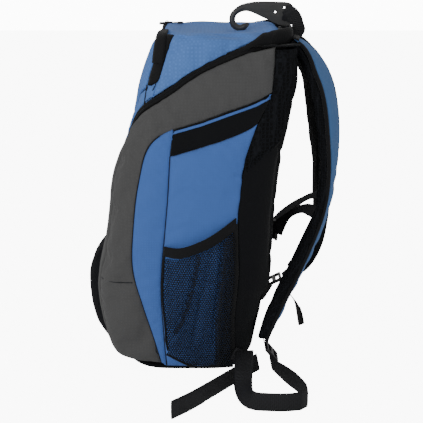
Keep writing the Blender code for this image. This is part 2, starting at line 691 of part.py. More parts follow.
def make_lid():
    """Lid shell, its front pocket's zip and flap, and the liner behind them."""
    rows = lid_rows()
    inside = Vector((0.0, 0.01, 0.39))
    for name, region, slot in (("lid_shell", "shell", "lid_blue"), ("lid_pocket_zip", "zip", "black"),
                               ("lid_pocket_flap", "flap", "lid_blue")):
        sheet_from_grid(name, rows, slot, FABRIC, skip=lambda i, j, r=region: lid_region(i, j) != r,
                        gap=0.0007, inside=inside)
    rows = []
    for z in np.linspace(0.346, 0.4435, 5):
        y = profile(FRONT, z) + 0.018
        reach = profile(HALF_WIDTH, z) - 0.026
        rows.append([Vector((x, y, z)) for x in np.linspace(-reach, reach, 5)])
    sheet_from_grid("lid_pocket_liner", rows, "sheet", 0.0010)


def lid_normal(a):
    """Outward direction at the lid's lower edge, leaning up towards the rear."""
    z = lid_point(a, 0.0).z
    first, last = lid_t_range(z)
    shape = (first + a * (last - first), z, profile(FRONT, z), LID_REAR, LID_REAR_RADIUS)
    lean = 1.3 * min(max((a - 0.66) / 0.2, 0.0), 1.0)
    return (section(*shape, 1.0) - section(*shape) + Vector((0, 0, lean))).normalized()


def zip_track(count):
    """The main zip's right half, front to rear: points, each with its direction from lid to body."""
    line = flat_line(ZIP_LINE, count)
    points = [skin(t, z) for t, z in line]
    track = []
    for i, (t, z) in enumerate(line):
        along = points[min(i + 1, count - 1)] - points[max(i - 1, 0)]
        track.append((points[i], along.cross(skin(t, z, 1.0) - points[i]).normalized()))
    for a in np.linspace(0.70, 1.0, 14):
        along = lid_point(min(a + 0.01, 1.0), 0.0) - lid_point(a - 0.01, 0.0)
        across = along.cross(lid_normal(a)).normalized()
        track.append((lid_point(a, 0.0) + across * ZIP_HALF, across))
    return track


def make_main_zip():
    """The two tapes of the main zip, the lid's and the body's."""
    track = zip_track(20)
    line = [(Vector((-p.x, p.y, p.z)), Vector((-d.x, d.y, d.z))) for p, d in track] + track[::-1][1:]
    for name, first, last in (("zip_tape_lid", 0.0011 - ZIP_HALF, -0.0001),
                              ("zip_tape_body", 0.0001, ZIP_HALF - 0.0013)):
        rows = [[p + d * first, p + d * last] for p, d in line]
        sheet_from_grid(name, rows, "black", 0.0011, inside=Vector((0.0, -0.01, 0.36)))


YOKE_XS = (0.0985, 0.083, 0.066, 0.050, 0.0340, 0.016, 0.0)
YOKE_LEDGE = (0.1175, 0.4472)


def yoke_rows():
    """Rows across the yoke, from the right flank to the middle: zip edge, ridge, rear edge, drop."""
    track = [p + d * (ZIP_HALF + 0.0008) for p, d in zip_track(20)[20:]]
    along = smooth_line([tuple(p) for p in track], 60)
    first = int(np.argmax(along[:, 0] < YOKE_XS[0]))
    rows = []
    z = BACK_CORNER_TOP + 0.0057
    start, corner = 0.082, profile(BACK, z) - BACK_RADIUS
    ts = [start, 0.097, corner, corner + 0.35 * BACK_RADIUS * math.pi, corner + 0.46 * BACK_RADIUS * math.pi]
    for k, t in enumerate(ts):
        fore, rear = Vector(along[int(first * k / len(ts))]), skin(t, z - 0.0010)
        rows.append([fore, (fore + rear) / 2 + Vector((0, 0, 0.0012)), rear, rear - Vector((0, 0, 0.002))])
    for x in YOKE_XS:
        fore = Vector([float(np.interp(x, along[::-1, 0], along[::-1, k])) for k in range(3)])
        rear = Vector((x, *YOKE_LEDGE))
        drop = Vector((x, profile(BACK, BACK_TOP) - 0.0008, BACK_TOP + 0.0012))
        rows.append([fore, (fore + rear) / 2 + Vector((0, 0, 0.0003)), rear, drop])
    return rows


def make_yoke():
    """The black panel behind the lid, from the zip's rear curve to the straps and the top of the back."""
    right = yoke_rows()
    rows = [[Vector((-p.x, p.y, p.z)) for p in row] for row in right] + right[::-1][1:]
    last, middle = len(right) - 1, len(right) - 3

    def left_out(i, j):
        return j == 2 and abs(i + 0.5 - last) > last - middle

    sheet_from_grid("yoke", rows, "black", 0.0014, skip=left_out, inside=Vector((0.0, 0.02, 0.36)))


def make_slider(name, centre):
    """A zip slider: a small rounded block over the track."""
    box(name, centre, (0.0080, 0.0100, 0.0036), "black_plastic", 0.0010)


def make_pull(name, bail, length, heading):
    """A flat webbing pull that lies beside its slider, from the slider's bail outwards."""
    centre = Vector(bail) + Vector(heading) * (length / 2)
    size = [abs(h) * (length - PULL_WIDTH) + PULL_WIDTH for h in heading[:2]]
    box(name, centre, (*size, 0.0016), "webbing", 0.0006)
    joint_empty(name + "_pivot", bail, name)


def make_sliders():
    """Sliders and pulls of the main zip, which meet behind the hook, and of the lid pocket."""
    for side in (1, -1):
        x, y, z = MAIN_BAIL
        make_slider(side_name("main_slider", side), (side * (x - BAIL_REACH), y, z - BAIL_RISE))
        make_pull(side_name("main_pull", side), (side * x, y, z), 0.026, (side, 0, 0))
    x, y, z = POCKET_BAIL
    make_slider("lid_pocket_slider", (x, y - POCKET_BAIL_REACH, z - BAIL_RISE))
    make_pull("lid_pocket_pull", POCKET_BAIL, 0.024, (0, 1, 0))


# ---- carry hook ---------------------------------------------------------------------
def make_hook():
    """A flat plastic hook on the haul loop, with a thick round curl at its end."""
    outline = smooth_line(HOOK_OUTLINE + HOOK_OUTLINE[:1], 64)[:-1]
    hook = plate("carry_hook", [tuple(p) for p in outline], HOOK_THICK, "plastic", HOOK_AXIS)
    for i, (y, z) in enumerate(HOOK_HOLES):
        cut(hook, drill(f"hook_hole_{i}", (0.0, y, z), 0.0014, 0.02))
    cut(hook, box("hook_slot", (0.0, 0.1200, 0.4780), (0.02, 0.0032, 0.0130), None, group=CUTTERS))
    outline = smooth_line(HAUL_OUTLINE + HAUL_OUTLINE[:1], 36)[:-1]
    loop = plate("haul_loop", [tuple(p) for p in outline], HOOK_THICK + 0.0040, "webbing", HOOK_AXIS)
    room = box("haul_room", (0.0, 0.1180, 0.4780), (HOOK_THICK + 0.0006, 0.0255, 0.0420), None, group=CUTTERS)
    cut(loop, room)


def drill(name, centre, radius, length):
    """A cylinder along X that cuts a round hole."""
    mesh = bpy.data.meshes.new(name)
    bm = bmesh.new()
    bmesh.ops.create_cone(bm, cap_ends=True, segments=12, radius1=radius, radius2=radius, depth=length)
    bm.to_mesh(mesh)
    bm.free()
    obj = bpy.data.objects.new(name, mesh)
    obj.location = centre
    obj.rotation_euler = (0.0, math.pi / 2, 0.0)
    obj.hide_render = True
    obj.display_type = "WIRE"
    CUTTERS.objects.link(obj)
    return obj


# ---- harness ------------------------------------------------------------------------
def strap_stations(route, count):
    """Centre, outward normal and width direction along a shoulder strap."""
    line = smooth_line(route, count)
    tangent = np.gradient(line, axis=0)
    twists = np.interp(np.linspace(0, 1, count), *zip(*STRAP_TWIST))
    stations = []
    for centre, along, twist in zip(line, tangent, np.radians(twists)):
        along = Vector(along).normalized()
        across = Vector((math.cos(twist), -math.copysign(math.sin(twist), centre[0]), 0.0))
        across = (across - along * across.dot(along)).normalized()
        stations.append((Vector(centre), across.cross(along).normalized(), across))
    return stations


def make_strap(side):
    """One shoulder strap: the foam body and the blue facing on its outer side."""
    route = STRAP_RIGHT if side > 0 else STRAP_LEFT
    stations = strap_stations(route, 16)
    ring = [(math.cos(k * math.pi / 6), math.sin(k * math.pi / 6)) for k in range(12)]
    bm = bmesh.new()
    loops, facing = [], []
    for i, (centre, normal, across) in enumerate(stations):
        u = i / (len(stations) - 1)
        half = 0.5 * (STRAP_TOP_WIDTH + (STRAP_END_WIDTH - STRAP_TOP_WIDTH) * u)
        if normal.y < 0:
            normal = -normal
        loop = []
        for c, s in ring:
            x = math.copysign(abs(c) ** 0.45, c) * half
            n = math.copysign(abs(s) ** 0.7, s) * STRAP_THICK / 2
            loop.append(bm.verts.new(centre + across * x + normal * n))
        loops.append(loop)
        above = centre + normal * (STRAP_THICK / 2 + 0.0019)
        facing.append([above + across * x * (half - 0.007) for x in (-1, 0, 1)])
    for a, b in zip(loops, loops[1:]):
        for k in range(12):
            bm.faces.new((a[k], a[(k + 1) % 12], b[(k + 1) % 12], b[k]))
    bm.faces.new(loops[0][::-1])
    bm.faces.new(loops[-1])
    bmesh.ops.recalc_face_normals(bm, faces=bm.faces)
    mesh = bpy.data.meshes.new(side_name("strap", side))
    bm.to_mesh(mesh)
    bm.free()
    mesh.shade_smooth()
    mesh.set_sharp_from_angle(angle=math.radians(50))
    add_object(side_name("strap", side), mesh, "black")
    sheet_from_grid(side_name("strap_facing", side), facing, "strap_blue", 0.0010, gap=0.0,
                    inside=Vector((0.0, -0.3, 0.25)), offset=1.0)


def make_lock(side):
    """Ladder lock: a plastic frame with two slots, and the short webbing that sews it to the strap."""
    centre = LOCK_RIGHT if side > 0 else LOCK_LEFT
    turn = (math.radians(-50 if side > 0 else 26), 0.0, 0.0)
    size = (0.0330, 0.0240, 0.0050)
    lock = box(side_name("ladder_lock", side), centre, size, "black_plastic", 0.0010, turn)
    axis = Vector((0.0, math.cos(turn[0]), math.sin(turn[0])))
    for k, shift in enumerate((0.0055, -0.0055)):
        where = Vector(centre) + axis * shift
        cut(lock, box(f"{lock.name}_slot_{k}", where, (0.0262, 0.0052, 0.02), None, turn=turn, group=CUTTERS))
    end = Vector((STRAP_RIGHT if side > 0 else STRAP_LEFT)[-1])
    toward = (end - Vector(centre)).normalized()
    start = end - toward * 0.0058
    finish = Vector(centre) + axis * math.copysign(0.0140, axis.dot(toward))
    route = [(start.lerp(finish, u), (1, 0, 0)) for u in (0.0, 0.5, 1.0)]
    ribbon(side_name("lock_loop", side), route, WEBBING, WEB_THICK, "webbing", 4)


def make_sternum():
    """Sternum strap: keepers on the shoulder straps, webbing halves and the buckle."""
    for side, route, station in ((1, STRAP_RIGHT, 0.575), (-1, STRAP_LEFT, 0.635)):
        stations = strap_stations(route, 41)
        centre, normal, across = stations[int(station * 40)]
        half = 0.5 * (STRAP_TOP_WIDTH + (STRAP_END_WIDTH - STRAP_TOP_WIDTH) * station)
        lean = math.atan2(normal.z, normal.y)
        where = centre - across * (side * (half + 0.0042))
        box(side_name("sternum_keeper", side), where, (0.0055, 0.0120, 0.0240), "black_plastic", 0.0010,
            (lean, 0.0, 0.0))
    ribbon("sternum_webbing_right", STERNUM_RIGHT, STERNUM_WEB, WEB_THICK, "webbing", 12)
    ribbon("sternum_webbing_left", STERNUM_LEFT, STERNUM_WEB, WEB_THICK, "webbing", 12)
    make_buckle()


def make_buckle():
    """Side-release buckle: a socket with a mouth on +X and the pronged half that slides into it."""
    x, y, z = BUCKLE_CENTRE
    socket = box("buckle_socket", (x - 0.008, y, z), (0.032, 0.0080, 0.024), "black_plastic", 0.0015)
    cut(socket, box("socket_mouth", (x + 0.002, y, z), (0.026, 0.0046, 0.0185), None, group=CUTTERS))
    cut(socket, box("socket_slot", (x - 0.0195, y, z), (0.0032, 0.02, 0.0186), None, group=CUTTERS))
    clip = box("buckle_clip", (x + 0.0095, y, z), (0.034, 0.0038, 0.0175), "black_plastic", 0.0008)
    cut(clip, box("clip_gap", (x - 0.001, y, z), (0.016, 0.02, 0.0080), None, group=CUTTERS))
    cut(clip, box("clip_slot", (x + 0.0205, y, z), (0.0032, 0.02, 0.0120), None, group=CUTTERS))


# ---- whole pack ---------------------------------------------------------------------
def make_webbing():
    """The slack lower webbing: a loop on each side, and the tail that comes out of each ladder lock."""
    for name, route, count in (("lower_webbing_right", LOOP_RIGHT, 42), ("lower_webbing_left", LOOP_LEFT, 42),
                               ("webbing_tail_right", TAIL_RIGHT, 14), ("webbing_tail_left", TAIL_LEFT, 9)):
        ribbon(name, route, WEBBING, WEB_THICK, "webbing", count)


def make_joint_empties():
    """Parents of the moving pieces, on their joints' axes; what hangs on the lid moves with it."""
    both = ("strap", "strap_facing", "ladder_lock", "lock_loop", "webbing_tail")
    joint_empty("lid_flap_pivot", FLAP_HINGE, "lid_pocket_flap")
    joint_empty("lid_pivot", LID_HINGE, "lid_shell", "zip_tape_lid", "lid_pocket_zip", "lid_pocket_liner",
                "lid_flap_pivot", "main_slider_right", "main_slider_left", "main_pull_right_pivot",
                "main_pull_left_pivot", "lid_pocket_slider", "lid_pocket_pull_pivot")
    joint_empty("hook_pivot", HOOK_AXIS, "carry_hook")
    joint_empty("sternum_slide", BUCKLE_CENTRE, "sternum_keeper_right", "sternum_keeper_left",
                "sternum_webbing_right", "sternum_webbing_left", "buckle_socket", "buckle_clip")
    joint_empty("harness_pivot", HARNESS_AXIS, *[side_name(word, side) for word in both for side in (1, -1)],
                "sternum_slide")


def make_daypack():
    """Every piece of the pack."""
    for side in (1, -1):
        make_side(side)
        make_anchor(side)
        make_strap(side)
        make_lock(side)
    make_front_panel()
    make_front_pocket()
    make_back_panel()
    make_base_panel()
    make_lid()
    make_main_zip()
    make_yoke()
    make_sliders()
    make_hook()
    make_sternum()
    make_webbing()
    make_joint_empties()


clear_scene()
PARTS = new_collection("daypack")
CUTTERS = new_collection("cutters")
make_daypack()
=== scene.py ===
"""Looks of the daypack: cloth panels, zips, webbing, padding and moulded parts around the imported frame.

A panel starts from the outer skin of the CAD node that it stands for, which is refined, puffed and seamed.
Strips, threads, tapes and the net are laid on the finished panels, and webbing follows routes of its own.
"""
import math

import bmesh
import bpy
import numpy as np
from mathutils import Matrix, Vector, noise
from mathutils.bvhtree import BVHTree
from mathutils.kdtree import KDTree


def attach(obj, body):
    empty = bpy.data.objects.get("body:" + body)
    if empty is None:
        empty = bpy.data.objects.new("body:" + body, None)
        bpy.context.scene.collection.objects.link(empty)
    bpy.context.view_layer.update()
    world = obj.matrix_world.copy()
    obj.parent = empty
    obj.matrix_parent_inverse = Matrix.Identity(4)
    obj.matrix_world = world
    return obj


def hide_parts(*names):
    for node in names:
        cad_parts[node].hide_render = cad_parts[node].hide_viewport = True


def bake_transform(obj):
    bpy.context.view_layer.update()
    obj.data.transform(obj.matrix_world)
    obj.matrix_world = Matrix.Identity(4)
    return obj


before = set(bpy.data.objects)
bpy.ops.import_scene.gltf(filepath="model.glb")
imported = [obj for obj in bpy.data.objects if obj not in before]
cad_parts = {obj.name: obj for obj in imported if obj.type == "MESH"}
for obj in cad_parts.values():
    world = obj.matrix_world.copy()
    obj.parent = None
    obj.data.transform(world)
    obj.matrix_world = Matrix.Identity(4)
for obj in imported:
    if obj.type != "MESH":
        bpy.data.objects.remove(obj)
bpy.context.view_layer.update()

INSIDE = Vector((0.0, -0.02, 0.20))        # a point inside the pack
LID_INSIDE = Vector((0.0, 0.01, 0.39))     # a point under the lid
FABRIC = 0.0012                            # a panel's thickness
SEAM_REACH = 0.0009                        # a panel's edge runs this far under its neighbour's
SEAM_DIP = 0.0018                          # and sinks this deep into the seam
SIDES = ((1, "right"), (-1, "left"))
CLOTH_FRAMES, STIFFNESS = 20, 8.0          # cloth simulation
PIN_REACH, PUFF_REACH = 0.004, 0.012       # how far from its rim a panel is pinned, and swells up
RIPPLE_SIZE, RIPPLE_REACH = 0.022, 0.010   # its wrinkles' size, and how far from the rim they start
DIP_REACH = 0.0016                         # how far from its rim it sinks into the seam
NET_CELL, NET_WIRE = 0.0033, 0.0015        # side pocket's net: cell pitch, strand
NET_FRONT, NET_LOW = -0.056, 0.004         # its first cell's y and z
NET_DEPTH, NET_HEIGHT = 0.12, 0.205        # its reach from there
NET_GAP = 0.0014                           # and its gap from the flank
SKY_LIGHT, SKY_SEEN = 0.56, 12.0           # studio's brightness: as light, and as background
FLOOR_GLOW = 9.0                           # lifts the floor towards white in the picture only
FLOOR_Z = -0.0004                          # just under the pack's base
LAMPS = (("key", (2.0, -1.0, 1.1), 21.0, 1.2), ("top", (-0.3, 0.2, 2.2), 1.5, 1.6))      # place, watts, size
AIM = (0.0, 0.0, 0.22)                     # the point that the lamps face
CAMERA_AT, CAMERA_TILT, LENS = (1.5, 0.016, 0.57), 14.0, 90.6     # its tilt downwards in degrees; mm
SOFT_SHINE = 0.15                          # specular level of cloth
WELD = 0.00002                             # corners nearer than this are one point
LOOK = {}                                  # the materials by their short names
TAUT = {"pressure": 0.0, "slack": 0.0, "cap": 0.0005}     # cloth that lies flat
SNUG = {"pressure": 1.0, "slack": 0.0, "cap": 0.001}      # cloth that's sewn tight over a band
SHARED = ("pack_body", "harness")          # the bodies given to bend() for the strap pads and lower loops

# colours, linear
BLUE = (0.064, 0.152, 0.450)
LID_BLUE = (0.088, 0.196, 0.500)
STRAP_BLUE = (0.070, 0.165, 0.370)
GREY = (0.078, 0.078, 0.078)
BLACK = (0.0030, 0.0034, 0.0046)
WEB_BLACK = (0.0050, 0.0052, 0.0062)
HOOK_GREY = (0.034, 0.034, 0.033)

WEB_WIDTH, WEB_THICK, STERNUM_WIDTH = 0.025, 0.0014, 0.018
PADDING, LINER = 0.009, 0.0010             # thickness of the padded back and of the lid pocket's lining
GUARD_DROP, FREE_DROP = 0.0045, 0.0030     # the zip guard's lower edge under the zip, and at its free end
GATHER_PITCH, GATHER_DEPTH = 0.011, 0.0004      # its gathers
TAPE_HALF, TAPE_THICK, TAPE_LIFT = 0.0055, 0.0008, -0.0030     # tape behind a seam, under the cloth
TAPE_START = 5                             # the zip's tape leaves out this many points at the wing's front
MAIN_BAIL = (0.0165, 0.1136, 0.4570)       # where the right main pull turns
POCKET_BAIL = (-0.0600, -0.0484, 0.4627)   # where the lid pocket's pull turns
MAIN_PULL, POCKET_PULL = 0.026, 0.024      # pulls' lengths
BAIL_RADIUS, BAIL_DROP = 0.0030, 0.0004    # bail's arch, and how far its middle is under the pull
BUCKLE_CENTRE = (0.0, 0.1085, 0.1680)
CURL_ROOT, CURL_RADIUS = 0.0022, 0.0043    # the hook's curl: its bar's radius where it starts, and further on
HAUL_CENTRE, HAUL_RADIUS = (0.116, 0.462), 0.024       # the haul loop, in side view


def mm(*points):
    """Points given in millimetres, in the frame's metres."""
    return tuple(tuple(value / 1000 for value in point) for point in points)


def route(*stations):
    """Centres given in millimetres, each with the direction of the webbing's width there."""
    return tuple((mm(station[:3])[0], station[3]) for station in stations)


# side-view lines on the flank, as (y, z)
# the side panel's outline and seams, then the pocket's
BAND_TOP = mm((-34, 338), (3, 349), (39, 362), (75, 374.5), (95.5, 386))
REAR_SEAM = mm((46.6, 10), (45.5, 78), (50.8, 143.5), (49, 213.5))
POCKET_PLEATS = (  # from the rim down
    mm((-1.5, 170), (-7.9, 134), (-16.3, 101), (-26.6, 73), (-38.1, 49)),
    mm((20, 195), (13, 150), (2, 100), (-6, 50)),
)
POCKET_HEM = mm((-45.2, 29), (-33.8, 23), (-13.4, 11), (6, 7.8), (45.8, 7.8))
DARK_FOLD = mm((34, 205), (31.7, 169), (27.4, 132), (23, 85), (21.9, 10))
ZIP_LINE = mm((-102, 309), (-96.5, 328), (-81, 357), (-43, 384), (-6, 410.5), (30, 428), (62, 440.5))
BACK_SEAM = mm(  # flank and wing to the back panel, from the bottom up
    (48, 8.5), (46, 78), (52, 143.5), (50, 213.5), (54, 244), (60, 300), (68, 321), (76, 345), (86, 366),
    (95.5, 386), (98, 442),
)
BACK_FOLD = mm((68, 288.5), (80, 300), (95, 310), (115, 317))      # in the back's side edges
WING_SEAM = mm((-134.5, 131.8), (-110, 130), (-90.2, 130.4))
GUSSET_SEAM = mm(  # wing to gusset
    (-52, 330), (-65, 318), (-73, 301), (-78.5, 276), (-84.5, 244), (-89, 197), (-91, 165.5), (-88.6, 139),
    (-81, 111), (-69, 71), (-55.6, 24),
)
SIDE_SEAM = mm((-38.5, 303), (-42, 244), (-47, 190), (-52, 122), (-49, 56), (-46, 8.5))    # gusset to flank
POCKET_BAND_END = mm((-50, 407), (-57.5, 393.5))
PLACKET = mm((-66.8, 393.5), (-71.2, 369))
HOOK_CURL = mm(
    (64, 488), (54, 484.8), (46.8, 478.5), (44.7, 470.5), (47, 464), (53, 459.8), (59.5, 460.3),
    (65, 464.2),
)
GUARD_RISE = mm(  # y, and how far the zip guard's upper edge stands over the zip there
    (30, 48, 56, 60.8, 70.4, 81.1, 98.8, 125), (3, 3.4, 4.2, 5.5, 11, 17.5, 19.5, 19),
)

# lines in the frame, as (x, y, z)
GUARD_END = mm(  # the guard's free end, which stands behind the sliders
    (90.5, 116, 447.6), (85, 119.5, 448.6), (60, 120.2, 449.2), (36, 120.8, 449.4), (16, 121.6, 449.4),
)
BAND_FRONT = mm(  # up the lid pocket's front corner and over the top
    (112, -61.5, 423), (109.5, -60.5, 433), (106.5, -59.2, 443), (103, -57.5, 452), (97, -55.8, 458.5),
    (88, -54.5, 461.2), (75, -53.5, 461.8),
)
BAND_REAR = mm(
    (120.5, -47, 423), (119.2, -45.5, 433), (116.5, -44, 443), (112.5, -43, 452), (106, -41.8, 459),
    (95, -41, 461.8), (75, -40.5, 462),
)
STRAP_RIGHT = mm(  # the shoulder straps' centrelines, from the top seam down
    (66, 122.2, 444), (67, 133, 439.5), (69, 143, 430), (71, 152, 415), (75, 165, 385), (79, 172, 345),
    (80, 174, 300), (80, 172, 260), (81, 165, 220), (83, 153, 185), (86, 138, 150), (91, 122, 117),
    (96, 105.5, 85), (101, 94, 60), (105, 86, 41),
)
STRAP_LEFT = mm(
    (-66, 122.2, 444), (-67, 133, 439.5), (-69, 143, 430), (-71, 152, 415), (-75, 165, 385),
    (-79, 172, 345), (-80, 176, 300), (-80, 180, 255), (-80, 182, 210), (-80, 180, 168), (-80, 173, 130),
    (-80, 158, 100), (-80, 137, 83),
)
STRAP_THICK, STRAP_TOP_WIDTH, STRAP_END_WIDTH = 0.014, 0.062, 0.042
BINDING_RADIUS, BINDING_INSET = 0.0027, 0.0048      # the binding beside the facing, in from the strap's edge
STRAP_TWIST = (  # share of the strap's length, and degrees that it turns outwards there
    (0.0, 4.0), (0.12, 24.0), (0.30, 24.0), (0.50, 12.0), (1.0, 8.0),
)
STRAP_ROOT = mm((0, 118, 446), (0, 148, 424))      # two points at the strap's root, given to bend()

# webbing routes
FLAT, EDGE = (0.0, 1.0, 0.0), (0.0, 0.0, 1.0)
LOOP_RIGHT = route(
    (134, 61, 33, (0, 1, 0.1)), (160, 60, 33.5, FLAT), (190, 58, 29, FLAT), (215, 57, 19, (0, 1, 0.3)),
    (238, 60, 14.5, (0, 0.7, 0.7)), (253.5, 69, 13.2, (0, 0.2, 1)), (258.5, 88, 13.2, EDGE),
    (259, 112, 13.2, EDGE), (254, 131, 13.2, EDGE), (238, 139, 13.2, EDGE), (201, 130, 13.2, EDGE),
    (176, 118, 14, EDGE), (153, 106, 15, (0, -0.2, 1)), (136, 97, 17, (0, -0.3, 1)),
)
TAIL_RIGHT = route(
    (130, 80, 16, (0, -0.2, 1)), (146, 65, 13.2, EDGE), (163, 53, 13.2, EDGE), (192, 33, 13.2, EDGE),
    (224, 11, 13.2, EDGE), (256, -12, 13.2, EDGE), (282, -34, 13.2, EDGE),
)
LOOP_LEFT = route(
    (-134, 61, 33, (0, 1, 0.1)), (-160, 59, 32, FLAT), (-192, 56, 24, FLAT), (-222, 53, 16, (0, 0.7, 0.7)),
    (-250, 50, 13.2, (0, 0.2, 1)), (-282, 51, 13.2, EDGE), (-305, 59, 13.2, EDGE), (-311, 72, 13.2, EDGE),
    (-302, 85, 13.2, EDGE), (-270, 92, 13.2, EDGE), (-230, 93.5, 13.2, EDGE), (-190, 94, 14, EDGE),
    (-155, 95, 21, (0, -0.3, 1)), (-128, 98.5, 40, (0, -0.5, 0.8)), (-110, 103, 56, (0, -0.6, 0.7)),
)
TAIL_LEFT = route(
    (-80, 120, 57, (1, 0, 0)), (-76, 133, 50, (1, 0.1, 0)), (-68, 145, 36, (1, 0.2, 0)),
    (-59, 151, 20, (1, 0.3, 0)), (-51, 154, 3.5, (1, 0.3, 0)),
)
STERNUM_RIGHT = route(
    (44.5, 166, 203, (0, 0.3, 1)), (42, 158, 207.5, (-0.3, 0.6, 0.8)), (39, 146, 210, (-0.5, 0.7, 0.5)),
    (35, 131, 204, (-0.5, 0.5, 0.7)), (31, 118.5, 190, (-0.3, 0.3, 1)), (29, 112, 180, (0, 0.1, 1)),
    (27.5, 109, 171, EDGE),
)
STERNUM_LEFT = route(
    (-45.5, 186, 208, (0, 0.1, 1)), (-44, 176, 212, (0.3, 0.5, 0.8)), (-41, 159, 208, (0.4, 0.5, 0.7)),
    (-38, 138, 196, (0.3, 0.4, 0.9)), (-34.5, 119, 180, (0.1, 0.2, 1)), (-30, 109.5, 170, EDGE),
    (-28.3, 108.5, 168.5, EDGE),
)
# the tab sewn to the pack's lower corner
ANCHOR = route((132, 60, 32.5, (0, 1, 0)), (130.3, 56, 25, (0, 1, 0.1)), (129, 52, 15, (0, 1, 0.15)))
LOCKS = (  # side, centre, tilt in degrees, strap
    ("right", (0.1090, 0.0990, 0.0225), -50.0, STRAP_RIGHT),
    ("left", (-0.0800, 0.1130, 0.0680), 26.0, STRAP_LEFT),
)


# ---- materials ----------------------------------------------------------------------
class Graph:
    """A material with a Principled shader, and short calls that add and join its nodes."""

    def __init__(self, name, rough=0.8, **sockets):
        self.material = bpy.data.materials.new(name)
        self.material.use_nodes = True
        self.tree = self.material.node_tree
        self.shader = self.tree.nodes["Principled BSDF"]
        self.shader.inputs["Roughness"].default_value = rough
        for label, value in sockets.items():
            self.shader.inputs[label.replace("_", " ")].default_value = value

    def node(self, kind, **settings):
        """A new node, with its settings."""
        made = self.tree.nodes.new("ShaderNode" + kind)
        for key, value in settings.items():
            setattr(made, key, value)
        return made

    def join(self, source, target):
        """Links an output to an input, or sets the input to a plain value."""
        if isinstance(source, bpy.types.NodeSocket):
            self.tree.links.new(source, target)
        else:
            target.default_value = source

    def maths(self, operation, a, b=0.0, c=0.0):
        """A Math node's output."""
        made = self.node("Math", operation=operation)
        for value, socket in zip((a, b, c), made.inputs):
            self.join(value, socket)
        return made.outputs[0]

    def noise(self, scale, detail=3.0, vector=None):
        """A Noise texture's value, in object coordinates unless told otherwise."""
        made = self.node("TexNoise")
        made.inputs["Scale"].default_value = scale
        made.inputs["Detail"].default_value = detail
        self.join(vector or self.place(), made.inputs["Vector"])
        return made.outputs["Fac"]

    def place(self):
        """Object coordinates, which are the frame's own metres."""
        return self.node("TexCoord").outputs["Object"]

    def strip(self):
        """Coordinates along and across a strip, in metres."""
        parts = self.node("SeparateXYZ")
        self.join(self.node("UVMap", uv_map="UVMap").outputs[0], parts.inputs[0])
        return parts.outputs[0], parts.outputs[1]

    def wave(self, value, pitch):
        """A sine of that pitch, from -1 to 1."""
        return self.maths("SINE", self.maths("MULTIPLY", value, 2 * math.pi / pitch))

    def weave(self, pitch):
        """Crossing threads in three directions, so that any surface shows a weave."""
        parts = self.node("SeparateXYZ")
        self.join(self.place(), parts.inputs[0])
        x, y, z = (self.wave(parts.outputs[k], pitch) for k in range(3))
        first = self.maths("MULTIPLY", x, y)
        second = self.maths("MULTIPLY_ADD", y, z, first)
        return self.maths("MULTIPLY_ADD", z, x, second)

    def shade(self, colour, factor, low, high):
        """Base colour that goes from low to high times colour as factor goes from 0 to 1."""
        mix = self.node("Mix", data_type="RGBA")
        self.join(factor, mix.inputs["Factor"])
        mix.inputs["A"].default_value = (*[c * low for c in colour], 1.0)
        mix.inputs["B"].default_value = (*[min(c * high, 1.0) for c in colour], 1.0)
        self.join(mix.outputs["Result"], self.shader.inputs["Base Color"])

    def bump(self, height, distance, strength=1.0):
        """Bump from a height between 0 and 1."""
        made = self.node("Bump")
        made.inputs["Distance"].default_value = distance
        made.inputs["Strength"].default_value = strength
        self.join(height, made.inputs["Height"])
        self.join(made.outputs[0], self.shader.inputs["Normal"])

    def roughness(self, height, low, high):
        """Roughness that follows a height."""
        span = self.maths("MULTIPLY_ADD", height, high - low, low)
        self.join(span, self.shader.inputs["Roughness"])


def cloth_material(name, colour, fine, coarse, contrast, rough=0.85, sheen=0.08):
    """Woven cloth: fine threads, a coarser figure, mottling and slightly worn patches."""
    g = Graph(name, rough, Sheen_Weight=sheen, Sheen_Roughness=0.5, Specular_IOR_Level=SOFT_SHINE)
    threads = g.maths("MULTIPLY_ADD", g.weave(fine), 0.25, 0.5)
    figure = g.maths("MULTIPLY_ADD", g.weave(coarse), 0.25, 0.5)
    patches = g.noise(14.0, 4.0)
    grain = g.noise(900.0, 2.0)
    tone = g.maths("MULTIPLY_ADD", figure, 0.35, g.maths("MULTIPLY", patches, 0.40))
    tone = g.maths("MULTIPLY_ADD", grain, 0.30, g.maths("MULTIPLY_ADD", threads, 0.15, tone))
    g.shade(colour, tone, 1.0 - contrast, 1.0 + contrast)
    g.bump(g.maths("MULTIPLY_ADD", threads, 0.7, g.maths("MULTIPLY", grain, 0.5)), 0.00035)
    g.roughness(patches, rough - 0.08, rough + 0.06)
    return g.material


def spacer_material(name, colour, cell, depth=0.0012):
    """Spacer mesh: rows of open cells, painted darker inside as painted shade and lighter on their walls as
    painted highlight.
    """
    g = Graph(name, 0.8, Specular_IOR_Level=SOFT_SHINE)
    cells = g.node("TexVoronoi", feature="DISTANCE_TO_EDGE")
    cells.inputs["Scale"].default_value = 1.0 / cell
    cells.inputs["Randomness"].default_value = 0.35
    g.join(g.place(), cells.inputs["Vector"])
    wall = g.maths("SMOOTH_MIN", g.maths("MULTIPLY", cells.outputs["Distance"], 4.0), 1.0, 0.2)
    ridge = g.maths("SUBTRACT", 1.0, wall)
    # base colour follows the cell relief: painted shade inside the cells, painted highlight on their walls
    g.shade(colour, ridge, 0.35, 2.6)
    g.bump(g.maths("ADD", ridge, g.maths("MULTIPLY", g.noise(1500.0), 0.15)), depth)
    return g.material


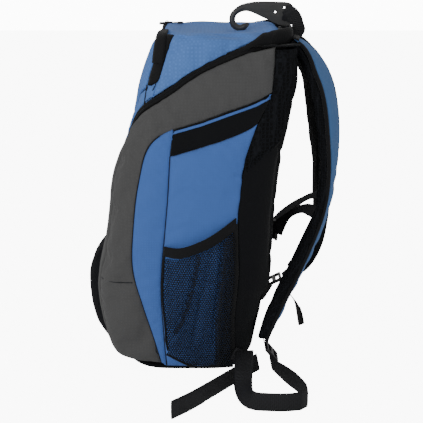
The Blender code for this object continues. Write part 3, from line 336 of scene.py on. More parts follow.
def webbing_material(name, colour, pitch=0.0024, twill=0.0056):
    """Ribbed webbing: cross ribs, a faint chevron and a smooth edge, with the rib tops painted lighter as
    painted highlight and the grooves darker as painted shade.
    """
    g = Graph(name, 0.62, Specular_IOR_Level=0.3)
    along, across = g.strip()
    rib = g.maths("MULTIPLY_ADD", g.wave(along, pitch), 0.5, 0.5)
    slant = g.maths("ADD", along, g.maths("ABSOLUTE", across))
    chevron = g.maths("MULTIPLY_ADD", g.wave(slant, twill), 0.5, 0.5)
    height = g.maths("MULTIPLY_ADD", chevron, 0.35, g.maths("MULTIPLY", rib, 0.65))
    # base colour follows the rib height: painted highlight on the rib tops, painted shade in the grooves,
    # plus random mottling
    g.shade(colour, g.maths("MULTIPLY_ADD", g.noise(60.0), 0.3, g.maths("MULTIPLY", height, 0.7)), 0.35, 3.6)
    g.bump(height, 0.0006)
    g.roughness(height, 0.52, 0.72)
    return g.material


def plastic_material(name, colour, rough=0.4):
    """Moulded plastic: a fine spark texture and scuffs."""
    g = Graph(name, rough)
    scuffs = g.noise(220.0, 6.0)
    g.shade(colour, scuffs, 0.75, 1.35)
    g.bump(g.noise(2600.0, 2.0), 0.00008)
    g.roughness(g.noise(90.0, 5.0), rough - 0.1, rough + 0.15)
    return g.material


def ribbed_material(name, colour, pitch):
    """Knitted cloth with fine upright ribs, their tops painted lighter as painted highlight and their grooves
    darker as painted shade.
    """
    g = Graph(name, 0.85, Specular_IOR_Level=SOFT_SHINE)
    along, across = g.strip()
    rib = g.maths("MULTIPLY_ADD", g.wave(along, pitch), 0.5, 0.5)
    stitch = g.maths("MULTIPLY_ADD", g.wave(across, pitch * 0.7), 0.5, 0.5)
    height = g.maths("MULTIPLY_ADD", stitch, 0.25, g.maths("MULTIPLY", rib, 0.75))
    # base colour follows the rib height: painted highlight on the rib tops, painted shade in the grooves
    g.shade(colour, height, 0.6, 2.4)
    g.bump(height, 0.0006)
    return g.material


def make_materials():
    """Every material of the pack."""
    LOOK.update({
        "blue": cloth_material("blue_cloth", BLUE, 0.0011, 0.0034, 0.16),
        "lid_blue": cloth_material("lid_cloth", LID_BLUE, 0.0013, 0.0052, 0.34, 0.78),
        "strap_blue": cloth_material("strap_cloth", STRAP_BLUE, 0.0011, 0.0030, 0.14),
        "grey": cloth_material("grey_cloth", GREY, 0.0012, 0.0042, 0.18, 0.9),
        "black": cloth_material("black_cloth", BLACK, 0.0011, 0.0030, 0.35, 0.82),
        "piping": cloth_material("binding_cloth", WEB_BLACK, 0.0010, 0.0021, 0.30, 0.70),
        "spacer": spacer_material("spacer_mesh", BLACK, 0.0052),
        "strap_mesh": spacer_material("strap_mesh", BLACK, 0.0036, 0.0008),
        "net": cloth_material("pocket_net", (0.0075, 0.009, 0.013), 0.0008, 0.0016, 0.3, 0.6),
        "webbing": webbing_material("webbing_ribbed", WEB_BLACK),
        "ribbed": ribbed_material("pocket_rib", BLACK, 0.0030),
        "plastic": plastic_material("hook_plastic", HOOK_GREY, 0.42),
        "black_plastic": plastic_material("buckle_plastic", (0.009, 0.009, 0.010), 0.38),
        "sheet": plastic_material("stiffener_plastic", (0.50, 0.51, 0.52), 0.45),
        "lining": cloth_material("lining_cloth", (0.16, 0.17, 0.18), 0.0009, 0.0030, 0.12),
        "thread": cloth_material("sewing_thread", (0.012, 0.013, 0.016), 0.0005, 0.0010, 0.3, 0.6),
    })


# ---- mesh tools ---------------------------------------------------------------------
def new_object(name, bm, look):
    """An object from a bmesh, which it frees, with a material of LOOK."""
    mesh = bpy.data.meshes.new(name)
    bm.to_mesh(mesh)
    bm.free()
    mesh.materials.append(LOOK[look])
    mesh.shade_smooth()
    obj = bpy.data.objects.new(name, mesh)
    bpy.context.scene.collection.objects.link(obj)
    return obj


def bake(obj):
    """Applies an object's modifiers."""
    bpy.context.view_layer.update()
    graph = bpy.context.evaluated_depsgraph_get()
    mesh = bpy.data.meshes.new_from_object(obj.evaluated_get(graph), depsgraph=graph)
    obj.modifiers.clear()
    obj.data = mesh
    mesh.shade_smooth()
    return obj


def points_of(obj):
    """An object's vertices as an array."""
    co = np.zeros(len(obj.data.vertices) * 3)
    obj.data.vertices.foreach_get("co", co)
    return co.reshape(-1, 3)


def set_points(obj, co):
    """Moves an object's vertices."""
    obj.data.vertices.foreach_set("co", np.asarray(co, float).ravel())
    obj.data.update()


def normals_of(obj):
    """An object's vertex normals as an array."""
    return np.array([v.normal for v in obj.data.vertices])


def subdivide(obj, levels):
    """Applies a Subdivision Surface."""
    smooth = obj.modifiers.new("fine", "SUBSURF")
    smooth.levels = smooth.render_levels = levels
    smooth.boundary_smooth = "PRESERVE_CORNERS"
    return bake(obj)


def node_bmesh(node):
    """A CAD node's mesh with its split corners welded."""
    bm = bmesh.new()
    bm.from_mesh(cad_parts[node].data)
    bmesh.ops.remove_doubles(bm, verts=bm.verts, dist=WELD)
    bm.normal_update()
    return bm


def outer_skin(node, thick, inside):
    """The outer side of a CAD panel, as an open sheet of quads."""
    bm = node_bmesh(node)
    tree = BVHTree.FromBMesh(bm)
    spare = []
    for face in bm.faces:
        centre, normal = face.calc_center_median(), face.normal
        depth = tree.ray_cast(centre - normal * WELD, -normal, thick * 2.5)[3]
        thin = depth is not None and 0.5 * thick < depth < 1.7 * thick
        if not thin or normal.dot(centre - inside) < 0:
            spare.append(face)
    bmesh.ops.delete(bm, geom=spare, context="FACES")
    bmesh.ops.join_triangles(bm, faces=bm.faces, angle_face_threshold=0.7, angle_shape_threshold=0.9)
    return bm


def open_edges(obj):
    """Positions of the vertices on a sheet's rim."""
    bm = bmesh.new()
    bm.from_mesh(obj.data)
    rim = [v.index for v in bm.verts if v.is_boundary]
    bm.free()
    return rim


def rim_distance(obj):
    """Each vertex's distance from the sheet's rim, in metres."""
    co, rim = points_of(obj), open_edges(obj)
    tree = KDTree(len(rim))
    for k, index in enumerate(rim):
        tree.insert(co[index], k)
    tree.balance()
    return np.array([tree.find(p)[2] for p in co])


def reach_seams(bm, reach):
    """Moves a sheet's rim outwards, under its neighbour."""
    moves = []
    for vertex in bm.verts:
        if not vertex.is_boundary or not vertex.link_faces:
            continue
        middles = [face.calc_center_median() for face in vertex.link_faces]
        away = vertex.co - sum(middles, Vector()) / len(middles)
        rim = [edge.other_vert(vertex).co for edge in vertex.link_edges if edge.is_boundary]
        if len(vertex.link_faces) == 2 and len(rim) == 2:
            along = (rim[0] - rim[1]).normalized()
            away -= along * away.dot(along)
        away -= vertex.normal * away.dot(vertex.normal)
        moves.append((vertex, away.normalized() * reach))
    for vertex, move in moves:
        vertex.co += move


def wrinkles(co, size, seed):
    """Smooth noise from -1 to 1 at each point."""
    shift = Vector((seed * 7.3, seed * 3.1, seed * 1.7))
    return np.array([noise.noise(Vector(p) / size + shift) for p in co]) * 2.0


def capped(move, cap):
    """Movements shortened smoothly so that none passes the cap."""
    size = np.linalg.norm(move, axis=1)[:, None]
    return move * (cap * np.tanh(size / cap) / np.maximum(size, 1e-9))


def simulate(obj, pressure, slack, cap, pin):
    """Cloth simulation of one piece: it swells against its pinned points, and is then applied."""
    start = points_of(obj)
    cloth = obj.modifiers.new("cloth", "CLOTH")
    settings = cloth.settings
    settings.quality = 6
    settings.mass = 0.25
    settings.tension_stiffness = settings.compression_stiffness = STIFFNESS
    settings.shear_stiffness = STIFFNESS / 2
    settings.bending_stiffness = 0.6
    settings.use_pressure = True
    settings.uniform_pressure_force = pressure
    settings.shrink_min = -slack
    settings.effector_weights.gravity = 0.0
    cloth.collision_settings.use_collision = False
    group = obj.vertex_groups.new(name="pin")
    for index, weight in enumerate(pin):
        if weight > 0:
            group.add([index], float(weight), "REPLACE")
    settings.vertex_group_mass = "pin"
    cloth.point_cache.frame_start, cloth.point_cache.frame_end = 1, CLOTH_FRAMES
    scene = bpy.context.scene
    for number in range(1, CLOTH_FRAMES + 1):
        scene.frame_set(number)
    bake(obj)
    scene.frame_set(1)
    obj.vertex_groups.clear()
    set_points(obj, start + capped(points_of(obj) - start, cap))
    return obj


def thicken(obj, thick):
    """Gives a sheet its thickness, inwards."""
    solid = obj.modifiers.new("thickness", "SOLIDIFY")
    solid.thickness = thick
    solid.offset = -1.0
    solid.use_even_offset = False
    return bake(obj)


def place(obj, body, slot, *nodes):
    """Says what body a piece rides on and the CAD nodes that it stands for, which it hides; slot is not used.
    """
    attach(obj, body)
    if nodes:
        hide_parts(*nodes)
    return obj


def mirrored(obj, name):
    """The left copy of a right piece."""
    mesh = obj.data.copy()
    mesh.transform(Matrix.Scale(-1.0, 4, Vector((1.0, 0.0, 0.0))))
    mesh.flip_normals()
    copy = bpy.data.objects.new(name, mesh)
    bpy.context.scene.collection.objects.link(copy)
    return copy


def tube(name, path, radius, look, sides=8):
    """A round cord or piping along points, with closed ends."""
    path = [Vector(p) for p in path]
    bm = bmesh.new()
    rings = []
    up = None
    for i, point in enumerate(path):
        along = (path[min(i + 1, len(path) - 1)] - path[max(i - 1, 0)]).normalized()
        if up is None:
            up = along.orthogonal().normalized()
        up = (up - along * up.dot(along)).normalized()
        side = along.cross(up)
        turns = [2 * math.pi * k / sides for k in range(sides)]
        rings.append([bm.verts.new(point + (up * math.cos(a) + side * math.sin(a)) * radius) for a in turns])
    for a, b in zip(rings, rings[1:]):
        for k in range(sides):
            bm.faces.new((a[k], a[(k + 1) % sides], b[(k + 1) % sides], b[k]))
    bm.faces.new(rings[0][::-1])
    bm.faces.new(rings[-1])
    bmesh.ops.recalc_face_normals(bm, faces=bm.faces)
    return new_object(name, bm, look)


def travel(points):
    """How far along the line each of its points is."""
    return np.r_[0, np.cumsum(np.linalg.norm(np.diff(points, axis=0), axis=1))]


def resampled(points, count):
    """The line with count points at equal steps."""
    length = travel(points)
    at = np.linspace(0, length[-1], count)
    return np.stack([np.interp(at, length, points[:, k]) for k in range(points.shape[1])], axis=1)


def spaced(points, pitch):
    """The line with points at equal steps of about that pitch."""
    points = np.array([tuple(p) for p in points], float)
    return resampled(points, max(int(travel(points)[-1] / pitch), 2) + 1)


def smooth_line(points, count):
    """Catmull-Rom curve through the points, resampled to count points of equal spacing."""
    pts = [np.array(p, float) for p in points]
    pts = [2 * pts[0] - pts[1]] + pts + [2 * pts[-1] - pts[-2]]
    fine = []
    for i in range(1, len(pts) - 2):
        p0, p1, p2, p3 = pts[i - 1: i + 3]
        for u in np.linspace(0, 1, 24, endpoint=False):
            fine.append(0.5 * (2 * p1 + (p2 - p0) * u + (2 * p0 - 5 * p1 + 4 * p2 - p3) * u**2
                               + (3 * p1 - p0 - 3 * p2 + p3) * u**3))
    return resampled(np.array(fine + [pts[-2]]), count)


# ---- cloth panels -------------------------------------------------------------------
def eased(points, rounds=4):
    """The line with its kinks averaged out and its ends kept."""
    line = np.array([tuple(p) for p in points])
    for _ in range(rounds):
        line[1:-1] = (line[:-2] + 2 * line[1:-1] + line[2:]) / 4
    return line


def cloth_panel(name, node, look, body, slot, thick=FABRIC, inside=INSIDE, puff=0.002, pressure=3.0,
                slack=0.02, cap=0.004, ripple=0.0005, fold=None, seed=1, reach=SEAM_REACH, dip=SEAM_DIP):
    """One sewn panel: the CAD skin, edges tucked into the seams, blown out by cloth simulation."""
    bm = outer_skin(node, thick, inside)
    reach_seams(bm, reach)
    obj = new_object(name, bm, look)
    subdivide(obj, 2)
    far = rim_distance(obj)
    simulate(obj, pressure, slack, cap, np.clip(1.0 - far / PIN_REACH, 0.0, 1.0))
    co, normal = points_of(obj), normals_of(obj)
    swell = puff * (1.0 - np.exp(-far / PUFF_REACH))
    swell += ripple * wrinkles(co, RIPPLE_SIZE, seed) * np.clip(far / RIPPLE_REACH, 0, 1)
    if fold:
        swell += fold(co)
    set_points(obj, co + normal * swell[:, None])
    subdivide(obj, 1)
    far = rim_distance(obj)
    co, normal = points_of(obj), normals_of(obj)
    set_points(obj, co - normal * (dip * np.exp(-far / DIP_REACH))[:, None])
    thicken(obj, thick)
    return place(obj, body, slot, node) if body else obj


def dent(co, line, width, depth):
    """A groove of that width and depth along a line of (y, z) points on the flank."""
    line = spaced(line, 0.003)
    gap = np.min(np.hypot(co[:, 1, None] - line[None, :, 0], co[:, 2, None] - line[None, :, 1]), axis=1)
    return -depth * np.exp(-(gap / width) ** 2)


def dents(*creases):
    """A panel's fold of several grooves: each a line in millimetres, and a width and depth in metres."""
    return lambda co: sum(dent(co, mm(*line), width, depth) for line, width, depth in creases)


WING_FOLD = dents(  # the cross seam and the short wrinkles beside it
    (((-140, 127.5), (-110, 126.2), (-85, 126.8)), 0.0022, 0.0016),
    (((-117, 147), (-109, 139), (-105, 133)), 0.0030, 0.0018),
    (((-92, 303), (-84, 308), (-76, 310)), 0.0040, 0.0020),
    (((-75, 330), (-65, 324), (-58, 323.5)), 0.0035, 0.0012),
)
SIDE_FOLD = dents(  # a tuck at the side panel's rear seam, a hollow below it, and one above the pocket
    (((65.5, 284), (58, 278.5), (49, 277.5)), 0.0028, 0.0036),
    (((55, 262), (46, 256), (38, 258)), 0.0060, 0.0014),
    (((30, 240), (5, 250), (-15, 247)), 0.0160, 0.0022),
)


def both_panels(name, node, look, slot, **settings):
    """A panel of the pack's body on the right, and its left copy. Returns the right one."""
    right = cloth_panel(name + "_right", node + "_right", look, "pack_body", slot, **settings)
    place(mirrored(right, name + "_left"), "pack_body", slot, node + "_left")
    return right


def make_panels():
    """The panels of the pack's body."""
    wing = both_panels("wing", "wing_panel", "grey", "grey", puff=0.0022, slack=0.04, seed=3,
                       fold=WING_FOLD)
    gusset = both_panels("gusset", "front_gusset", "blue", "blue", puff=0.0014, slack=0.01, seed=5)
    flank = both_panels("flank", "side_panel", "blue", "blue", puff=0.0026, seed=7, fold=SIDE_FOLD)
    band = both_panels("gusset_band", "side_band", "black", "black", puff=0.0010, slack=0.005, seed=9)
    make_side_pockets(flank)
    side = Ground([wing, gusset, flank])
    seam_threads("wing_seam", Ground([wing]), WING_SEAM)
    seam_threads("gusset_seam", side, smooth_line(GUSSET_SEAM, 80), radius=0.0009, lift=0.0002)
    seam_threads("side_seam", side, smooth_line(SIDE_SEAM, 60), slot="blue", radius=0.0008)
    ground = Ground([band])
    pair(lambda n: flank_strip(ground, n, BAND_TOP, 0.0012, 0.0062, 0.0007, 0.0008, 0.0014, "blue"),
         "band_trim", "pack_body", "blue")
    cloth_panel("front_middle", "front_panel", "grey", "pack_body", "grey", seed=11)
    cloth_panel("base", "base_panel", "black", "pack_body", "black", 0.0045, Vector((0, 0, 0.2)),
                puff=0.0, ripple=0.0, dip=0.0, reach=0.0, **TAUT)
    make_front_pocket()


def make_front_pocket():
    """The domed stretch pocket, with upright ribs."""
    obj = cloth_panel("front_pouch", "front_pocket", "ribbed", "pack_body", "black", 0.0016,
                      Vector((0, -0.05, 0.09)), puff=0.001, slack=0.01, seed=13, dip=0.0006)
    layer = obj.data.uv_layers.get("UVMap") or obj.data.uv_layers.new(name="UVMap")
    co = points_of(obj)
    for loop in obj.data.loops:
        x, _, z = co[loop.vertex_index]
        layer.data[loop.index].uv = (x, z)


def top_sag(co):
    """The lid's top sags a little, fills out at the rear and creases near the front corners."""
    inner = np.clip((co[:, 2] - 0.452) / 0.004, 0, 1) * np.clip((co[:, 1] + 0.048) / 0.03, 0, 1)
    rear = np.clip((co[:, 2] - 0.440) / 0.012, 0, 1) * np.clip((co[:, 1] - 0.070) / 0.025, 0, 1)
    crease = dent(co, mm((-47, 443), (-36, 440.5), (-30, 440.2)), 0.0025, 0.0025)
    return 0.0040 * rear - 0.0025 * inner + crease


def make_lid():
    """The lid's cloth, its pocket flap and band, and the main zip's lips."""
    cover = cloth_panel("lid_cover", "lid_shell", "lid_blue", "lid", "lid_blue", inside=LID_INSIDE,
                        puff=0.0018, slack=0.03, fold=top_sag, seed=17)
    flap = cloth_panel("flap_cover", "lid_pocket_flap", "lid_blue", "lid_flap", "lid_blue", inside=LID_INSIDE,
                       puff=0.0012, cap=0.003, seed=19, reach=0.0006)
    band = cloth_panel("pocket_band", "lid_pocket_zip", "piping", "lid", "black", inside=LID_INSIDE,
                       puff=0.0016, ripple=0.0, seed=21, reach=0.0008, **SNUG)
    make_placket(Ground([cover, band]), Ground([cover, band, flap]))
    for end, body in (("lid", "lid"), ("body", "pack_body")):
        cloth_panel(f"zip_lip_{end}", f"zip_tape_{end}", "piping", body, "black", 0.0011, LID_INSIDE,
                    puff=0.0022, ripple=0.0, reach=0.0007, dip=0.0008, **TAUT)
    yoke = cloth_panel("yoke_cover", "yoke", "black", "pack_body", "black", 0.0014, Vector((0, 0.02, 0.36)),
                       puff=0.0018, slack=0.01, cap=0.002, seed=23, reach=0.0022)
    make_zip_guard(Ground([cover, yoke]))


# ---- strips laid on the flank -------------------------------------------------------
LEFTWARDS = Vector((-1, 0, 0))
OUTSIDE, FLANK_X, INNERMOST = 0.3, 0.14, 0.05      # x outside the pack, near its flank, and well inside it


class Ground:
    """The finished outer surface of some pieces, which strips and threads are laid on."""

    def __init__(self, pieces):
        bm = bmesh.new()
        for piece in pieces:
            bm.from_mesh(piece.data)
        self.tree = BVHTree.FromBMesh(bm)
        bm.free()

    def flank(self, y, z, lift):
        """The point of the right flank at that y and z, lifted off the cloth."""
        hit, normal = self.tree.ray_cast(Vector((OUTSIDE, y, z)), LEFTWARDS)[:2]
        if hit is None or hit.x < INNERMOST:        # missed, or went through a seam to the far side
            hit, normal = self.tree.find_nearest(Vector((FLANK_X, y, z)))[:2]
        return hit + normal * lift

    def clear(self, point, lift):
        """The point, moved off the cloth where it's nearer to it than lift."""
        point = Vector(point)
        hit, normal = self.tree.find_nearest(point)[:2]
        return point + normal * max(lift - (point - hit).dot(normal), 0.0)

    def nearest(self, point, lift):
        """The surface's point nearest to a point, lifted off it."""
        hit, normal = self.tree.find_nearest(Vector(point))[:2]
        return hit + normal * lift


def add_quads(bm, layer, rows, closed=False):
    """Faces between rows of (vertex, uv)."""
    for first, second in zip(rows, rows[1:]):
        total = len(first)
        for k in range(total if closed else total - 1):
            quad = (first[k], first[(k + 1) % total], second[(k + 1) % total], second[k])
            face = bm.faces.new([q[0] for q in quad])
            for loop, q in zip(face.loops, quad):
                loop[layer].uv = q[1]


def strip(name, left, right, crown, thick, look, columns=6):
    """A cloth strip between two rows of points, crowned in the middle (one height, or one a row)."""
    bm = bmesh.new()
    layer = bm.loops.layers.uv.new("UVMap")
    rows, along = [], 0.0
    crowns = np.broadcast_to(crown, len(left))
    for i, (a, b) in enumerate(zip(left, right)):
        a, b = Vector(a), Vector(b)
        before = (Vector(left[max(i - 1, 0)]) + Vector(right[max(i - 1, 0)])) / 2
        after = (Vector(left[min(i + 1, len(left) - 1)]) + Vector(right[min(i + 1, len(left) - 1)])) / 2
        if i:
            along += ((a + b) / 2 - before).length
        out = (b - a).cross(after - before).normalized()
        row = []
        for k in range(columns + 1):
            u = k / columns
            point = a.lerp(b, u) + out * float(crowns[i]) * (1 - (2 * u - 1) ** 4)
            row.append((bm.verts.new(point), (along, u * (b - a).length)))
        rows.append(row)
    add_quads(bm, layer, rows)
    return thicken(new_object(name, bm, look), thick)


def pair(make, name, body, slot, *nodes):
    """A right piece, placed, and its left copy; nodes are CAD names without their side."""
    right = place(make(name + "_right"), body, slot, *[node + "_right" for node in nodes])
    place(mirrored(right, name + "_left"), body, slot, *[node + "_left" for node in nodes])


def flank_strip(ground, name, line, up, down, lift, crown, thick, look):
    """A strip on the right flank along a line of (y, z), from up above it to down below it."""
    line = spaced(line, 0.004)
    top = [ground.flank(y, z + up, lift) for y, z in line]
    low = [ground.flank(y, z - down, lift) for y, z in line]
    return strip(name, top, low, crown, thick, look)


def seam_threads(name, ground, line, look="thread", body="pack_body", slot="grey", radius=0.0007,
                 lift=0.0001):
    """A sewn line on both flanks along points of (y, z)."""
    path = eased([ground.flank(y, z, lift) for y, z in spaced(line, 0.003)])
    pair(lambda n: tube(n, path, radius, look, 6), name, body, slot)


# ---- side pockets -------------------------------------------------------------------
def pocket_folds(co):
    """The pleats that the rim's elastic pulls into the net."""
    move = dent(co, [(y - 0.003, z) for y, z in DARK_FOLD], 0.0036, 0.0042)
    for line in POCKET_PLEATS:
        move += dent(co, [(y - 0.0045, z) for y, z in line], 0.0034, 0.0030)
        move -= dent(co, [(y + 0.0020, z) for y, z in line], 0.0034, 0.0022)
    return move - dent(co, [(y + 0.004, z) for y, z in DARK_FOLD], 0.0034, 0.0024)


def net_floor(y):
    """The net's lower edge, which rises towards the front."""
    return float(np.interp(y, *zip(*POCKET_HEM)))


def on_line(line, z):
    """The y of an upright line of (y, z), given from the top down, at a height."""
    return float(np.interp(z, [p[1] for p in line[::-1]], [p[0] for p in line[::-1]]))


def net_ply(name, ground, flank, shown, lift):
    """A knitted net of six-sided cells over the pocket where shown(y, z), always clear of the flank."""
    bm = bmesh.new()
    made = {}

    def corner(y, z):
        key = (round(y, 5), round(z, 5))
        if key not in made:
            hit, under = (cloth.tree.ray_cast(Vector((OUTSIDE, y, z)), LEFTWARDS)[0]
                          for cloth in (ground, flank))
            if hit and under:
                hit.x = max(hit.x, under.x + NET_GAP) + lift
            made[key] = bm.verts.new(hit) if hit else None
        return made[key]

    rise = NET_CELL * 1.25      # a cell's height; rows overlap by a quarter of it
    for j in range(int(NET_HEIGHT / (rise * 0.75))):
        for i in range(int(NET_DEPTH / NET_CELL)):
            y = NET_FRONT + lift + (i + 0.5 * (j % 2)) * NET_CELL
            z = NET_LOW + j * rise * 0.75
            if not shown(y, z) or z < net_floor(y):
                continue
            ring = ((0, 0.5), (0.5, 0.25), (0.5, -0.25), (0, -0.5), (-0.5, -0.25), (-0.5, 0.25))
            verts = [corner(y + a * NET_CELL, z + b * rise) for a, b in ring]
            if all(verts):
                bm.faces.new(verts)
    obj = new_object(name, bm, "net")
    wires = obj.modifiers.new("wires", "WIREFRAME")
    wires.thickness = NET_WIRE
    wires.use_even_offset = False
    return bake(obj)


def make_side_pockets(flank):
    """Net pockets with pleats, an elastic binding on the rim and taped seams."""
    skin = new_object("net_form", outer_skin("side_pocket_right", FABRIC, INSIDE), "net")
    subdivide(skin, 2)
    co = points_of(skin)
    co[:, 0] += pocket_folds(co)
    set_points(skin, co)
    ground, under = Ground([skin]), Ground([flank])
    bpy.data.objects.remove(skin, do_unlink=True)
    plies = (  # name, lift, where it shows, CAD node
        ("pocket_net", 0.0, lambda y, z: True, ["side_pocket"]),
        ("net_fold", 0.0015, lambda y, z: y > on_line(DARK_FOLD, z), []),
        ("net_pleat", 0.0019, lambda y, z: abs(y - on_line(POCKET_PLEATS[0], z)) < 0.0015 and z > 0.060, []),
    )
    for word, lift, shown, nodes in plies:
        pair(lambda name: net_ply(name, ground, under, shown, lift), word, "pack_body", "mesh", *nodes)
    front = [(y + 0.0016, z) for y, z in smooth_line(SIDE_SEAM, 60) if 0.030 < z < 0.181]
    seam_threads("net_edge", ground, front, "piping", slot="mesh", radius=0.0013, lift=0.0006)
    hem = [(y, z - 0.0008) for y, z in POCKET_HEM]
    seam_threads("net_hem", ground, hem, "piping", slot="mesh", radius=0.0014, lift=0.0012)
    both_panels("pocket_elastic", "pocket_binding", "piping", "black", thick=0.0018, puff=0.0012,
                ripple=0.0003, dip=0.0, reach=0.0016, seed=29, **SNUG)
    line = spaced(REAR_SEAM, 0.005)
    fore = [under.flank(y - 0.0050, z, 0.0018) for y, z in line]
    rear = [under.flank(y, z, 0.0020) for y, z in line]
    pair(lambda n: strip(n, fore, rear, 0.0006, 0.0014, "piping"), "pocket_seam", "pack_body", "black")


# ---- back and harness ---------------------------------------------------------------
CHANNEL_X = 0.026                          # half the width of the back's middle channel
RIB_HEIGHTS = (0.085, 0.155, 0.225, 0.295, 0.365)
REAR_HALF, ROUNDING = 0.108, 0.012         # half the back's flat face, and how far its edge rounds off


def back_folds(co):
    """Sewn channels of the padded back and the fold in its right and left edges."""
    x, z = np.abs(co[:, 0]), co[:, 2]
    rear = np.clip((REAR_HALF - x) / ROUNDING, 0, 1)
    groove = -0.0042 * np.exp(-((x - CHANNEL_X) / 0.0028) ** 2)
    for height in RIB_HEIGHTS:
        across = -0.0036 * np.exp(-((z - height - 0.10 * (x - CHANNEL_X)) / 0.0026) ** 2)
        groove += across * np.clip((x - CHANNEL_X) / 0.004, 0, 1)
    hollow = -0.0030 * np.clip((CHANNEL_X - x) / 0.006, 0, 1)
    edge = dent(co, BACK_FOLD, 0.0034, 0.0042)
    return (groove + hollow) * rear + edge * (1 - rear)


def make_back():
    """The padded back with its mesh face, and plain cloth on its lower side edges."""
    back = cloth_panel("back_padding", "back_panel", "spacer", "pack_body", "black", PADDING, puff=0.0022,
                       pressure=4.0, slack=0.03, cap=0.005, fold=back_folds, seed=31, dip=0.0014,
                       ripple=0.0004, reach=0.0004)
    back.data.materials.append(LOOK["black"])
    for face in back.data.polygons:
        x, y, z = face.center
        if z < 0.2885 + 0.85 * (y - 0.070) and abs(x) > REAR_HALF + 0.004:      # below the edge's fold
            face.material_index = 1


def strap_stations(route, count):
    """Centre, outward normal and width direction along a shoulder strap."""
    line = smooth_line(route, count)
    tangent = np.gradient(line, axis=0)
    twists = np.interp(np.linspace(0, 1, count), *zip(*STRAP_TWIST))
    stations = []
    for centre, along, twist in zip(line, tangent, np.radians(twists)):
        along = Vector(along).normalized()
        across = Vector((math.cos(twist), -math.copysign(math.sin(twist), centre[0]), 0.0))
        across = (across - along * across.dot(along)).normalized()
        normal = across.cross(along).normalized()
        stations.append((Vector(centre), -normal if normal.y < 0 else normal, across))
    return stations


def bend(obj, slot, bodies, start, end, *nodes):
    """Bakes a soft piece's transform and hides the CAD nodes it stands for; slot, bodies, start and end are
    not used.
    """
    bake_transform(obj)
    if nodes:
        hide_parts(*nodes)
    return obj


def make_strap(side, route):
    """One shoulder strap: padded mesh body, cloth facing and the binding on the facing's two edges."""
    bm = node_bmesh(f"strap_{side}")
    bmesh.ops.join_triangles(bm, faces=bm.faces, angle_face_threshold=0.7, angle_shape_threshold=1.2)
    body = new_object(f"strap_pad_{side}", bm, "strap_mesh")
    subdivide(body, 2)
    stations = strap_stations(route, 60)
    centres = KDTree(len(stations))
    for k, station in enumerate(stations):
        centres.insert(station[0], k)
    centres.balance()
    nearest = [stations[centres.find(p)[1]] for p in points_of(body)]
    front = np.array([(Vector(p) - s[0]).dot(s[1]) for p, s in zip(points_of(body), nearest)])
    simulate(body, 4.0, 0.02, 0.004, np.clip((front - 0.004) / 0.003, 0, 1))
    co = points_of(body)
    ripple = np.clip(-front / 0.004, 0, 1) * 0.0007 * wrinkles(co, 0.016, 37)
    set_points(body, co + normals_of(body) * ripple[:, None])
    bend(body, "black", SHARED, *STRAP_ROOT, f"strap_{side}")
    facing = cloth_panel(f"strap_face_{side}", f"strap_facing_{side}", "strap_blue", None, "strap_blue",
                         0.0010, Vector((0.0, -0.3, 0.25)), puff=0.0016, pressure=4.0, slack=0.03, cap=0.003,
                         seed=41, ripple=0.0006, reach=0.0, dip=0.0006)
    bend(facing, "strap_blue", SHARED, *STRAP_ROOT, f"strap_facing_{side}")
    for edge, word in ((1, "outer"), (-1, "inner")):
        path = []
        for i, (centre, normal, across) in enumerate(stations):
            width = STRAP_TOP_WIDTH + (STRAP_END_WIDTH - STRAP_TOP_WIDTH) * i / (len(stations) - 1)
            outwards = across * edge * (0.5 * width - BINDING_INSET)
            path.append(centre + normal * (STRAP_THICK / 2 - 0.0004) + outwards)
        binding = tube(f"strap_binding_{word}_{side}", path[1:], BINDING_RADIUS, "piping", 10)
        bend(binding, "black", SHARED, *STRAP_ROOT)
    left, right = ([centre + normal * (STRAP_THICK / 2 + 0.0036) + across * x * 0.5 * STRAP_TOP_WIDTH
                    for centre, normal, across in stations[:2]] for x in (-1, 1))
    bend(strip(f"strap_root_{side}", left, right, 0.0012, 0.0016, "piping"), "black", SHARED, *STRAP_ROOT)


# ---- webbing ------------------------------------------------------------------------
def webbing(name, route, width, count, thick=WEB_THICK, columns=8, start=0.0, lift=0.0):
    """Woven webbing along a route of centres and width directions, with thin rounded edges."""
    line = smooth_line([np.r_[c, Vector(d).normalized()] for c, d in route], count)
    line = line[int(start * (count - 1)):]
    tangent = np.gradient(line[:, :3], axis=0)
    shape = [(-0.5, 0.0)] + [(k / columns - 0.5, 0.5) for k in range(1, columns)] + [(0.5, 0.0)]
    shape += [(k / columns - 0.5, -0.5) for k in range(columns - 1, 0, -1)]
    bm = bmesh.new()
    layer = bm.loops.layers.uv.new("UVMap")
    rings, along = [], 0.0
    for i, row in enumerate(line):
        if i:
            along += float(np.linalg.norm(row[:3] - line[i - 1][:3]))
        heading = Vector(tangent[i]).normalized()
        across = Vector(row[3:])
        across = (across - heading * across.dot(heading)).normalized()
        out = across.cross(heading)
        ring = []
        for a, b in shape:
            edge = 0.75 if abs(a) > 0.49 - 1 / columns else 1.0
            point = Vector(row[:3]) + across * a * width + out * (b * thick * edge + lift)
            ring.append((bm.verts.new(point), (along, a * width)))
        rings.append(ring)
    add_quads(bm, layer, rings, True)
    for ring, turn in ((rings[0], 1), (rings[-1], -1)):
        bm.faces.new([q[0] for q in ring][::turn])
    bmesh.ops.recalc_face_normals(bm, faces=bm.faces)
    obj = new_object(name, bm, "webbing")
    obj["length"] = along
    return obj


